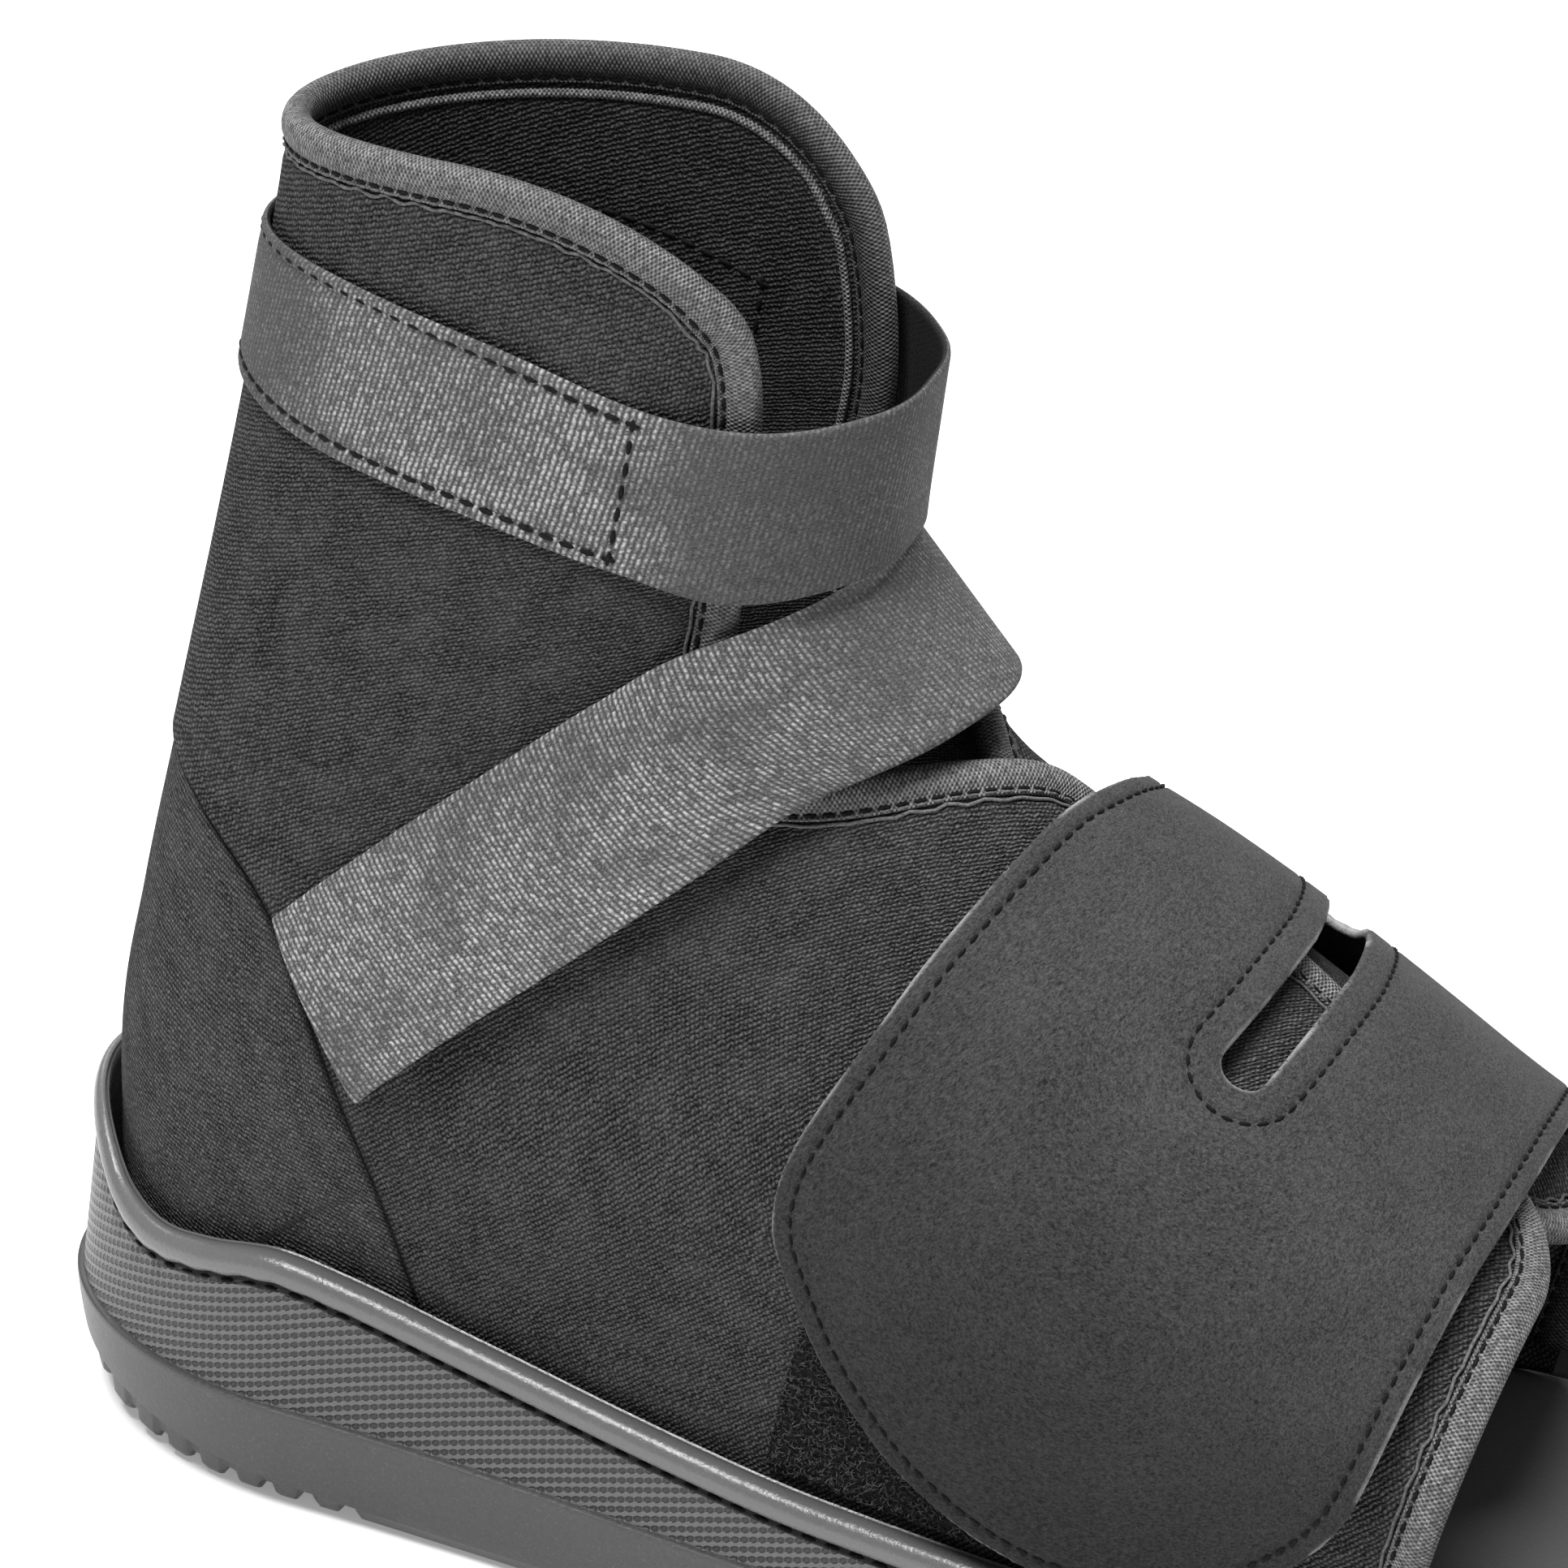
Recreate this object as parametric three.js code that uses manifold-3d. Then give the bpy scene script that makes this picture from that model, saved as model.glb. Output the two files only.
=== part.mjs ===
// A cast boot: a high soft boot that is worn over a bandaged or casted foot.
// Millimetres, +Z up, +X to the toes. The side at -Y is the wearer's right.
// A rubber cup sole carries a knitted upper that is open at the collar, the throat and the toes.
// Two webbing straps close the shaft and the ankle, and a wide flap closes the forefoot.
import * as THREE from "three";
import { mergeVertices } from "three/addons/utils/BufferGeometryUtils.js";
import Module from "manifold-3d";

const wasm = await Module();
wasm.setup();
const { degToRad, lerp, smoothstep, clamp } = THREE.MathUtils;

// Sole outline: half an ellipse at the heel, two flaring sides and a square toe.
const SOLE_LENGTH = 300;
const HEEL_LENGTH = 52;
const HEEL_HALF = 40;
const BALL_X = 225;
const BALL_HALF = 55;
const TOE_SQUARENESS = 3.2;

// Sole in height. The sides of the cup stand on a rockered tread.
const SOLE_WALL = 5.5;
const CUP_FLOOR = 18;
const HEEL_ROCKER = { end: 40, rise: 4 };
const TOE_ROCKER = { start: 225, rise: 13 };
const HEEL_TREAD = { start: 10, count: 8, pitch: 7.5 };
const TOE_TREAD = { start: 190, count: 12, pitch: 8.5 };
const TREAD_GROOVE = { width: 3, depth: 2.4 };
const INSOLE_THICKNESS = 6;
const INSOLE_BEVEL = { width: 5.6, height: 1 };

// Cloth, webbing and tape.
const GAP = 0.4;
const CUP_GAP = 1.2;
const WALL = 3;
const WALL_FOOT = 25.4;
const COUNTER_SET_IN = 0.8;
const SEAM_GAP = 0.35;
const LAP = { drop: 5.6, start: 5.9, end: 7.8, lowTurn: 105, highTurn: 165 };
const STRAP_GAP = 0.55;
const STRAP_THICKNESS = 1.5;
const PATCH_GAP = 0.7;
const PATCH_THICKNESS = 1.3;
const FLAP_THICKNESS = 1.8;
const BINDING = { depth: 5, thickness: 0.8, clearance: 0.82, crown: 1.3 };
const EDGE_PINCH = { depth: 0.8, reach: 11, collar: 0.8, toe: 13.4 };

// Height of the sole's rim, by distance from the back of the heel.
const RIM = [
  { x: 0, z: 55 },
  { x: 6, z: 51 },
  { x: 14, z: 44.8 },
  { x: 23, z: 42.6 },
  { x: 34, z: 44.2 },
  { x: 48, z: 46.7 },
  { x: 60, z: 45 },
  { x: 85, z: 39.7 },
  { x: 117, z: 34 },
  { x: 145, z: 31 },
  { x: 240, z: 29 },
  { x: 300, z: 28 },
];

// Cross section of the sole's side, from the tread, over the rim, to the floor of the cup.
// Each height counts from one level: the ground, the top of the smooth side, the rim or the floor.
const SOLE_SIDE = [
  { inset: 3.4, level: "ground", rise: 0 },
  { inset: 1.6, level: "ground", rise: 2.6 },
  { inset: 0.4, level: "ground", rise: 9 },
  { inset: 0, level: "smooth", rise: -0.8 },
  { inset: 0.7, level: "smooth", rise: 0.2 },
  { inset: 1.6, level: "rim", rise: -6.4 },
  { inset: 0.6, level: "rim", rise: -4.8 },
  { inset: 0.4, level: "rim", rise: -2.8 },
  { inset: 1.6, level: "rim", rise: -0.6 },
  { inset: 3.4, level: "rim", rise: 0 },
  { inset: 4.9, level: "rim", rise: -0.8 },
  { inset: SOLE_WALL, level: "rim", rise: -2.6 },
  { inset: SOLE_WALL, level: "floor", rise: 0 },
];
const SMOOTH_SIDE = { height: 19.9, toeHeight: 16.6, toeStart: 130 };
const RIM_LEAN = { end: 40, inset: 2.6 };

// Hoops round the boot, from the collar through the ankle to the toe edge. Each lies in a plane
// through the back (or underfoot) point and the front (or instep) point of the closed form.
// width is half the breadth, corner the squareness at the back or underfoot, and edge the angle
// round from there, in degrees, at which the right wall stops.
const HOOPS = [
  { at: 0, backX: 34.5, backZ: 228.3, frontX: 141, frontZ: 231, width: 28, corner: 2, edge: 122 },
  { at: 1, backX: 33.4, backZ: 219, frontX: 140.5, frontZ: 222, width: 28.2, corner: 2, edge: 124 },
  { at: 2, backX: 32, backZ: 209.5, frontX: 140, frontZ: 212.5, width: 28.5, corner: 2, edge: 126.5 },
  { at: 3, backX: 27.8, backZ: 184, frontX: 138, frontZ: 191, width: 29.4, corner: 2, edge: 129 },
  { at: 4, backX: 22.6, backZ: 155, frontX: 136.5, frontZ: 174, width: 31, corner: 2, edge: 130 },
  { at: 5, backX: 16.3, backZ: 122, frontX: 137, frontZ: 161, width: 33.6, corner: 2, edge: 130 },
  { at: 6, backX: 10.8, backZ: 92, frontX: 143, frontZ: 152.5, width: 36.2, corner: 2.1, edge: 134 },
  { at: 7, backX: 7.6, backZ: 62, frontX: 151.5, frontZ: 147, width: 38.6, corner: 2.4, edge: 162 },
  { at: 8, backX: 8.6, backZ: 32, frontX: 160.5, frontZ: 142, width: 41.4, corner: 3, edge: 180 },
  { at: 9, backX: 38, backZ: 17, frontX: 171, frontZ: 133.8, width: 44, corner: 3.6, edge: 186 },
  { at: 10, backX: 82, backZ: 16, frontX: 185, frontZ: 126.3, width: 46.5, corner: 4, edge: 187 },
  { at: 11, backX: 128, backZ: 16, frontX: 202, frontZ: 115.7, width: 48.5, corner: 4.4, edge: 186 },
  { at: 12, backX: 172, backZ: 16, frontX: 220, frontZ: 102.7, width: 50, corner: 4.8, edge: 184 },
  { at: 13, backX: 207, backZ: 16, frontX: 235.5, frontZ: 90.4, width: 51, corner: 5, edge: 181 },
  { at: 14, backX: 234.5, backZ: 16, frontX: 248.5, frontZ: 81.6, width: 51.5, corner: 5, edge: 176 },
];
const FRONT_SQUARENESS = 2.2;

// The left wall reaches further forward at the collar and round the throat than the right one.
const LEFT_EDGE = [
  { at: 0, edge: 125 },
  { at: 1, edge: 127.5 },
  { at: 2, edge: 131.5 },
  { at: 3, edge: 138 },
  { at: 4, edge: 136.5 },
  { at: 5, edge: 135 },
  { at: 6, edge: 148 },
  { at: 7, edge: 180 },
  { at: 8, edge: 186 },
  { at: 9, edge: 187 },
  { at: 10, edge: 187 },
  { at: 11, edge: 186 },
  { at: 12, edge: 184 },
  { at: 13, edge: 181 },
  { at: 14, edge: 176 },
];
const COLLAR_ROUND = { end: 2.6, drop: 50, leftDrop: 32 };
const TOE_ROUND = { start: 13.2, drop: 16 };
const COLLAR_ARCH = { height: 4.5, end: 3 };
const HELD_HEIGHT = 45;

// Seam between the heel counter and the side walls, seen from the side.
const SEAM = [
  { x: 0, z: 124 },
  { x: 14, z: 121.5 },
  { x: 30, z: 115 },
  { x: 45, z: 105 },
  { x: 56, z: 87 },
  { x: 64.5, z: 67.5 },
  { x: 70, z: 47.5 },
  { x: 81, z: 14 },
];

// Collar strap: where its two edges lie on the hoops, by angle from the back, and how far it
// stands off the closed form. It is sewn down to the last angle of the sewn part, then goes free
// across the throat and lands on itself.
const COLLAR_STRAP = [
  { turn: -110, upper: 2.46, lower: 3.62, off: 0 },
  { turn: -82, upper: 2.15, lower: 3.27, off: 0 },
  { turn: -47, upper: 1.93, lower: 3.07, off: 0 },
  { turn: 0, upper: 1.9, lower: 2.92, off: 0 },
  { turn: 47, upper: 1.93, lower: 3.07, off: 0 },
  { turn: 82, upper: 2.15, lower: 3.27, off: 0 },
  { turn: 110, upper: 2.46, lower: 3.62, off: 0 },
  { turn: 128, upper: 2.5, lower: 3.85, off: 2.6 },
  { turn: 151, upper: 2.47, lower: 3.92, off: 0.6 },
  { turn: 180, upper: 2.45, lower: 3.97, off: -1.6 },
  { turn: 209, upper: 2.45, lower: 3.95, off: 0.2 },
  { turn: 232, upper: 2.42, lower: 3.85, off: 2.9 },
  { turn: 250, upper: 2.42, lower: 3.62, off: 2.6 },
  { turn: 278, upper: 2.15, lower: 3.3, off: 2.3 },
];

// Ankle strap: sections from the middle of the instep to its square end on the right.
const ANKLE_STRAP = [
  { row: -1, upper: 4.05, upperTurn: 207.5, lower: 6.5, lowerTurn: 198.8, upperOff: -1.8, lowerOff: 5 },
  { row: 0, upper: 4, upperTurn: 180, lower: 6.5, lowerTurn: 180, upperOff: -3.4, lowerOff: 6.8 },
  { row: 1, upper: 4.05, upperTurn: 152.5, lower: 6.5, lowerTurn: 161.2, upperOff: -1.8, lowerOff: 5 },
  { row: 2, upper: 4.25, upperTurn: 125, lower: 6.45, lowerTurn: 139.6, upperOff: 2.4, lowerOff: 3 },
  { row: 3, upper: 4.67, upperTurn: 110.8, lower: 6.75, lowerTurn: 122.2, upperOff: 0.9, lowerOff: 1.1 },
  { row: 4, upper: 5.22, upperTurn: 94, lower: 7.12, lowerTurn: 105.8, upperOff: 0, lowerOff: 0 },
  { row: 5, upper: 6.13, upperTurn: 64, lower: 7.64, lowerTurn: 78.5, upperOff: 0, lowerOff: 0 },
];

// How far the middle of the ankle strap's width stands out where it crosses the hollow of the instep.
const ANKLE_BRIDGE = [
  { row: -1, rise: 4.2 },
  { row: 0, rise: 5.4 },
  { row: 1, rise: 4.2 },
  { row: 2, rise: 1.2 },
  { row: 3, rise: 0.2 },
  { row: 4, rise: 0 },
  { row: 5, rise: 0 },
];

// Forefoot flap: hoop numbers of its rear and front edges, by angle from underfoot on the right.
const FLAP = [
  { turn: 58.3, rear: 12.05, front: 12.2 },
  { turn: 59, rear: 11.93, front: 12.38 },
  { turn: 60.5, rear: 11.76, front: 12.55 },
  { turn: 63, rear: 11.56, front: 12.72 },
  { turn: 68, rear: 11.24, front: 12.93 },
  { turn: 74, rear: 10.94, front: 13.08 },
  { turn: 82, rear: 10.57, front: 13.24 },
  { turn: 89, rear: 10.27, front: 13.34 },
  { turn: 98, rear: 9.86, front: 13.41 },
  { turn: 108, rear: 9.55, front: 13.43 },
  { turn: 125, rear: 9.19, front: 13.43 },
  { turn: 138, rear: 8.91, front: 13.43 },
  { turn: 150, rear: 8.73, front: 13.44 },
  { turn: 157, rear: 8.67, front: 13.46 },
  { turn: 164, rear: 8.64, front: 13.48 },
  { turn: 172, rear: 8.67, front: 13.49 },
  { turn: 180, rear: 8.78, front: 13.5 },
  { turn: 190, rear: 8.95, front: 13.5 },
  { turn: 203, rear: 9.2, front: 13.5 },
  { turn: 218, rear: 9.31, front: 13.48 },
  { turn: 240, rear: 9.43, front: 13.46 },
  { turn: 270, rear: 9.63, front: 13.4 },
  { turn: 298, rear: 9.95, front: 13.3 },
];
const FLAP_FORM = { grow: 4.4, lift: 4.6 };
const SLOT = { middle: 187, half: 38, at: 11.23, slant: 0.0015, width: 0.17, round: 3.6 };

// Hook landing patch on the right of the forefoot.
const PATCH = { rearLow: 10.85, rearHigh: 9.9, front: 13, turnHigh: 116, aboveRim: 1.4 };

// Value of a column at a place along a table, on a smooth curve through the rows.
function read(rows, key, place, name) {
  const last = rows.length - 1;
  let i = 0;
  while (i < last - 1 && place > rows[i + 1][key]) i += 1;
  const slope = (k) => {
    const low = rows[Math.max(k - 1, 0)];
    const high = rows[Math.min(k + 1, last)];
    return (high[name] - low[name]) / (high[key] - low[key]);
  };
  const span = rows[i + 1][key] - rows[i][key];
  const t = clamp((place - rows[i][key]) / span, 0, 1);
  const bend = (1 - t) ** 2 * t * slope(i) - t ** 2 * (1 - t) * slope(i + 1);
  return lerp(rows[i][name], rows[i + 1][name], t * t * (3 - 2 * t)) + span * bend;
}

// Numbers spread evenly from one end to the other, both ends included.
function spread(from, to, count) {
  return Array.from({ length: count }, (_, i) => lerp(from, to, i / (count - 1)));
}

// Place in a falling-to-rising function where it crosses zero.
function crossing(from, to, height) {
  let [low, high] = [from, to];
  for (let i = 0; i < 40; i += 1) {
    const middle = (low + high) / 2;
    if (height(middle) < 0) low = middle;
    else high = middle;
  }
  return (low + high) / 2;
}

// Half breadth of the sole's outline, drawn in by an inset.
function soleHalf(x, inset) {
  const heel = HEEL_HALF - inset;
  const ball = BALL_HALF - inset;
  if (x < HEEL_LENGTH) {
    const back = (HEEL_LENGTH - x) / (HEEL_LENGTH - inset);
    return heel * Math.sqrt(Math.max(1 - back * back, 0));
  }
  if (x < BALL_X) return lerp(heel, ball, smoothstep(x, HEEL_LENGTH, BALL_X));
  const ahead = (x - BALL_X) / (SOLE_LENGTH - BALL_X - inset);
  return ball * Math.max(1 - ahead ** TOE_SQUARENESS, 0) ** (1 / TOE_SQUARENESS);
}

// Stations along one side of the sole, from the middle of the heel to the middle of the toe.
function soleStations() {
  const heel = spread(0, 90, 11).map((a) => ({ heel: degToRad(a) }));
  const side = spread(HEEL_LENGTH, BALL_X, 11).slice(1).map((x) => ({ x }));
  const toe = spread(0, 90, 10).slice(1).map((a) => ({ toe: degToRad(a) }));
  return [...heel, ...side, ...toe];
}

function solePoint(station, inset) {
  const power = 2 / TOE_SQUARENESS;
  if (station.heel !== undefined) {
    const x = HEEL_LENGTH - (HEEL_LENGTH - inset) * Math.cos(station.heel);
    return [x, (HEEL_HALF - inset) * Math.sin(station.heel)];
  }
  if (station.x !== undefined) return [station.x, soleHalf(station.x, inset)];
  const length = SOLE_LENGTH - BALL_X - inset;
  const x = BALL_X + length * Math.sin(station.toe) ** power;
  return [x, (BALL_HALF - inset) * Math.max(Math.cos(station.toe), 0) ** power];
}

function groundHeight(x) {
  const heel = Math.max((HEEL_ROCKER.end - x) / HEEL_ROCKER.end, 0);
  const toe = Math.max((x - TOE_ROCKER.start) / (SOLE_LENGTH - TOE_ROCKER.start), 0);
  return HEEL_ROCKER.rise * heel ** 2 + TOE_ROCKER.rise * toe ** 2;
}

// Point on the closed form of the upper, or on a looser or lower form round it.
function hoopPoint(at, turn, form = {}) {
  const value = (name) => read(HOOPS, "at", at, name);
  const cos = Math.cos(degToRad(turn));
  const sin = Math.sin(degToRad(turn));
  const power = cos > 0 ? value("corner") : FRONT_SQUARENESS;
  const reach = (Math.abs(cos) ** power + Math.abs(sin) ** power) ** (-1 / power);
  const [along, out] = [(1 - cos * reach) / 2, sin * reach];
  const arch = COLLAR_ARCH.height * Math.max(1 - at / COLLAR_ARCH.end, 0) * out * out;
  const lapped = smoothstep(at, LAP.start, LAP.end);
  const lap = form.lap ? lapped * smoothstep(turn, LAP.lowTurn, LAP.highTurn) : 0;
  const frontZ = value("frontZ") + (form.lift ?? 0) - LAP.drop * lap;
  const point = new THREE.Vector3(
    lerp(value("backX"), value("frontX"), along),
    -(value("width") + (form.grow ?? 0)) * out,
    lerp(value("backZ"), frontZ, along) + arch,
  );
  return form.grow ? point : heldBySole(point);
}

// The cup holds the foot of the upper upright, on a line just inside the sole's wall.
function heldBySole(point) {
  const inset = SOLE_WALL + CUP_GAP;
  const rim = read(RIM, "x", point.x, "z");
  const hold = 1 - smoothstep(point.z, rim - 3, rim + HELD_HEIGHT);
  const target = point.clone();
  if (point.x < HEEL_LENGTH) {
    const [alongX, alongY] = [HEEL_LENGTH - inset, HEEL_HALF - inset];
    const reach = Math.hypot((point.x - HEEL_LENGTH) / alongX, point.y / alongY);
    target.x = HEEL_LENGTH + (point.x - HEEL_LENGTH) / reach;
    target.y = point.y / reach;
  } else {
    target.y = Math.sign(point.y) * soleHalf(point.x, inset);
  }
  return point.lerp(target, hold);
}

function normalAt(at, turn, form) {
  const [stepAt, stepTurn] = [0.02, 0.5];
  const low = clamp(at, stepAt, 14 - stepAt);
  const alongAt = hoopPoint(low + stepAt, turn, form).sub(hoopPoint(low - stepAt, turn, form));
  const alongTurn = hoopPoint(at, turn + stepTurn, form).sub(hoopPoint(at, turn - stepTurn, form));
  return alongAt.cross(alongTurn).normalize();
}

// Point that stands off a form by a distance, outward positive.
function skin(at, turn, off, form) {
  return hoopPoint(at, turn, form).addScaledVector(normalAt(at, turn, form), off);
}

// Angle on a hoop at which the wall begins, on the floor of the cup or at the back.
function footTurn(at) {
  if (hoopPoint(at, 0.01).z > WALL_FOOT) return 0;
  return crossing(0, 90, (turn) => hoopPoint(at, turn).z - WALL_FOOT);
}

// Angle on a hoop at which it crosses the counter's seam, shifted up by a margin.
function seamTurn(at, margin) {
  const above = (turn) => {
    const p = hoopPoint(at, turn);
    return p.z - read(SEAM, "x", p.x, "z") - margin;
  };
  const foot = footTurn(at);
  if (above(foot + 0.01) > 0) return foot;
  return crossing(foot, 120, above);
}

// Angle on a hoop at which the side wall stops. Its corners at the collar and the toes are round.
function edgeTurn(at, left) {
  const last = HOOPS.at(-1).at;
  const collar = Math.max(COLLAR_ROUND.end - at, 0) / COLLAR_ROUND.end;
  const toe = Math.max(at - TOE_ROUND.start, 0) / (last - TOE_ROUND.start);
  const fall = (drop, share) => drop * (1 - Math.sqrt(1 - share * share));
  const top = left ? COLLAR_ROUND.leftDrop : COLLAR_ROUND.drop;
  const rounds = fall(top, collar) + fall(TOE_ROUND.drop, toe);
  return read(left ? LEFT_EDGE : HOOPS, "at", at, "edge") - rounds;
}

// Angle on a hoop at a height above the sole's rim.
function rimTurn(at, above) {
  return crossing(5, 90, (turn) => {
    const p = hoopPoint(at, turn);
    return p.z - read(RIM, "x", p.x, "z") - above;
  });
}

// Closed mesh from positions and triangles, turned so that its faces look outward.
function closedGeometry(points, triangles) {
  let volume = 0;
  for (const [a, b, c] of triangles) {
    volume += points[a].dot(new THREE.Vector3().crossVectors(points[b], points[c]));
  }
  const ordered = volume > 0 ? triangles : triangles.map(([a, b, c]) => [a, c, b]);
  const geometry = new THREE.BufferGeometry();
  geometry.setFromPoints(points);
  geometry.setIndex(ordered.flat());
  return geometry;
}

// Sheet with thickness from a list of faces. Each corner is a pair of points, outer and inner.
// Edges that belong to one face only are closed by a wall.
function thickSheet(corners, faces) {
  const count = corners.length;
  const points = [...corners.map((c) => c.outer), ...corners.map((c) => c.inner)];
  const triangles = [];
  const edges = new Map();
  for (const face of faces) {
    for (let i = 0; i < face.length; i += 1) {
      const [a, b] = [face[i], face[(i + 1) % face.length]];
      edges.set(`${a},${b}`, [a, b]);
    }
    for (let i = 2; i < face.length; i += 1) {
      triangles.push([face[0], face[i - 1], face[i]]);
      triangles.push([face[0] + count, face[i] + count, face[i - 1] + count]);
    }
  }
  for (const [a, b] of edges.values()) {
    if (edges.has(`${b},${a}`)) continue;
    triangles.push([a, a + count, b + count], [a, b + count, b]);
  }
  return closedGeometry(points, triangles);
}

// Thick sheet over a grid. place(column, row) gives the pair of points of one corner.
function gridSheet(columns, rows, place) {
  const corners = columns.flatMap((c) => rows.map((r) => place(c, r)));
  const faces = [];
  for (let i = 0; i + 1 < columns.length; i += 1) {
    for (let j = 0; j + 1 < rows.length; j += 1) {
      const a = i * rows.length + j;
      faces.push([a, a + 1, a + 1 + rows.length, a + rows.length]);
    }
  }
  return thickSheet(corners, faces);
}

// Tube through closed sections of equal length, capped at both ends.
function sectionTube(sections) {
  const size = sections[0].length;
  const triangles = [];
  for (let i = 0; i + 1 < sections.length; i += 1) {
    for (let j = 0; j < size; j += 1) {
      const a = i * size + j;
      const b = i * size + ((j + 1) % size);
      triangles.push([a, b, b + size], [a, b + size, a + size]);
    }
  }
  return { points: sections.flat(), triangles, size };
}

function toManifold(geometry) {
  return new wasm.Manifold(new wasm.Mesh({
    numProp: 3,
    vertProperties: new Float32Array(geometry.getAttribute("position").array),
    triVerts: new Uint32Array(geometry.getIndex().array),
  }));
}

function toGeometry(manifold) {
  const mesh = manifold.getMesh();
  const geometry = new THREE.BufferGeometry();
  geometry.setAttribute("position", new THREE.BufferAttribute(mesh.vertProperties, 3));
  geometry.setIndex(new THREE.BufferAttribute(mesh.triVerts, 1));
  return geometry;
}

// Solid between rings that follow the sole's outline. ring(station) gives inset and height.
function outlineSolid(rings) {
  const stations = soleStations();
  const last = stations.length - 1;
  const sections = rings.map((ring) => {
    const right = stations.map((station) => {
      const { inset, z } = ring(solePoint(station, 0)[0]);
      const [x, y] = solePoint(station, inset);
      return new THREE.Vector3(x, -y, z);
    });
    const left = right.slice(1, last).reverse();
    return [...right, ...left.map((p) => new THREE.Vector3(p.x, -p.y, p.z))];
  });
  const { points, triangles, size } = sectionTube(sections);
  const close = (base, up) => {
    const at = (k) => base + ((k + size) % size);
    const add = (a, b, c) => triangles.push(up ? [a, c, b] : [a, b, c]);
    for (let k = 0; k < last; k += 1) {
      if (k > 0) add(at(k), at(-k), at(k + 1));
      if (k + 1 < last) add(at(k + 1), at(-k), at(-k - 1));
    }
  };
  close(0, false);
  close(points.length - size, true);
  return closedGeometry(points, triangles);
}

function outsole() {
  const level = {
    ground: (x) => groundHeight(x),
    smooth: (x) => lerp(SMOOTH_SIDE.height, SMOOTH_SIDE.toeHeight, smoothstep(x, 0, SMOOTH_SIDE.toeStart)),
    rim: (x) => read(RIM, "x", x, "z"),
    floor: () => CUP_FLOOR,
  };
  const lean = (x) => RIM_LEAN.inset * (1 - smoothstep(x, 0, RIM_LEAN.end));
  const rings = SOLE_SIDE.map((row) => (x) => {
    const leans = row.level === "rim" && row.inset < SOLE_WALL;
    const inset = leans ? lerp(row.inset, SOLE_WALL, lean(x) / SOLE_WALL) : row.inset;
    return { inset, z: level[row.level](x) + row.rise };
  });
  let body = toManifold(outlineSolid(rings));
  for (const tread of [HEEL_TREAD, TOE_TREAD]) {
    for (let i = 0; i < tread.count; i += 1) {
      const x = tread.start + i * tread.pitch;
      const groove = new THREE.BoxGeometry(TREAD_GROOVE.width, 4 * BALL_HALF, 2 * TREAD_GROOVE.depth);
      groove.translate(x, 0, groundHeight(x));
      groove.deleteAttribute("normal");
      groove.deleteAttribute("uv");
      body = body.subtract(toManifold(mergeVertices(groove)));
    }
  }
  return toGeometry(body);
}

function insole() {
  const inset = SOLE_WALL + GAP;
  const bottom = CUP_FLOOR + GAP;
  return outlineSolid([
    () => ({ inset, z: bottom }),
    () => ({ inset, z: bottom + INSOLE_THICKNESS - INSOLE_BEVEL.height }),
    () => ({ inset: inset + INSOLE_BEVEL.width, z: bottom + INSOLE_THICKNESS }),
  ]);
}

const mirrored = (p) => new THREE.Vector3(p.x, -p.y, p.z);

// Hoop numbers of a side wall. They lie closer together round the two rounded corners and where
// the counter's seam runs off the back.
const WALL_HOOPS = [
  ...spread(0, 1, 7).map((share) => COLLAR_ROUND.end * share ** 2),
  ...spread(COLLAR_ROUND.end, 5, 5).slice(1),
  ...spread(0, 1, 9).slice(1).map((share) => 5 + share ** 1.8),
  ...spread(6, 9, 10).slice(1),
  ...spread(9, TOE_ROUND.start, 8).slice(1),
  ...spread(1, 0, 7).slice(1).map((share) => 14 - (14 - TOE_ROUND.start) * share ** 2),
];
const WALL_ROWS = spread(0, 10, 11);
const TAPED_ROWS = 3;
const BACK_GAP_TURN = 0.4;

function sideWall(left) {
  const form = { lap: left };
  const sided = (p) => (left ? mirrored(p) : p);
  const last = WALL_ROWS.length - 1;
  return gridSheet(WALL_HOOPS, WALL_ROWS, (at, row) => {
    const start = Math.max(seamTurn(at, SEAM_GAP), BACK_GAP_TURN);
    const edge = edgeTurn(at, left);
    const degree = hoopPoint(at, edge, form).distanceTo(hoopPoint(at, edge - 1, form));
    const tape = edge - EDGE_PINCH.reach / degree;
    const taped = row - (last - TAPED_ROWS);
    const turn = taped > 0
      ? lerp(tape, edge, taped / TAPED_ROWS)
      : lerp(start, tape, row / (last - TAPED_ROWS));
    const bound = taped >= 0 || at < EDGE_PINCH.collar || at > EDGE_PINCH.toe;
    const pinch = bound ? EDGE_PINCH.depth : 0;
    const outer = sided(skin(at, turn, -pinch, form));
    return { outer, inner: sided(skin(at, turn, pinch - WALL, form)) };
  });
}

// Corners of the counter lie closer together at the back, where the hoops turn sharply.
const SPACING = 1.4;

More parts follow.
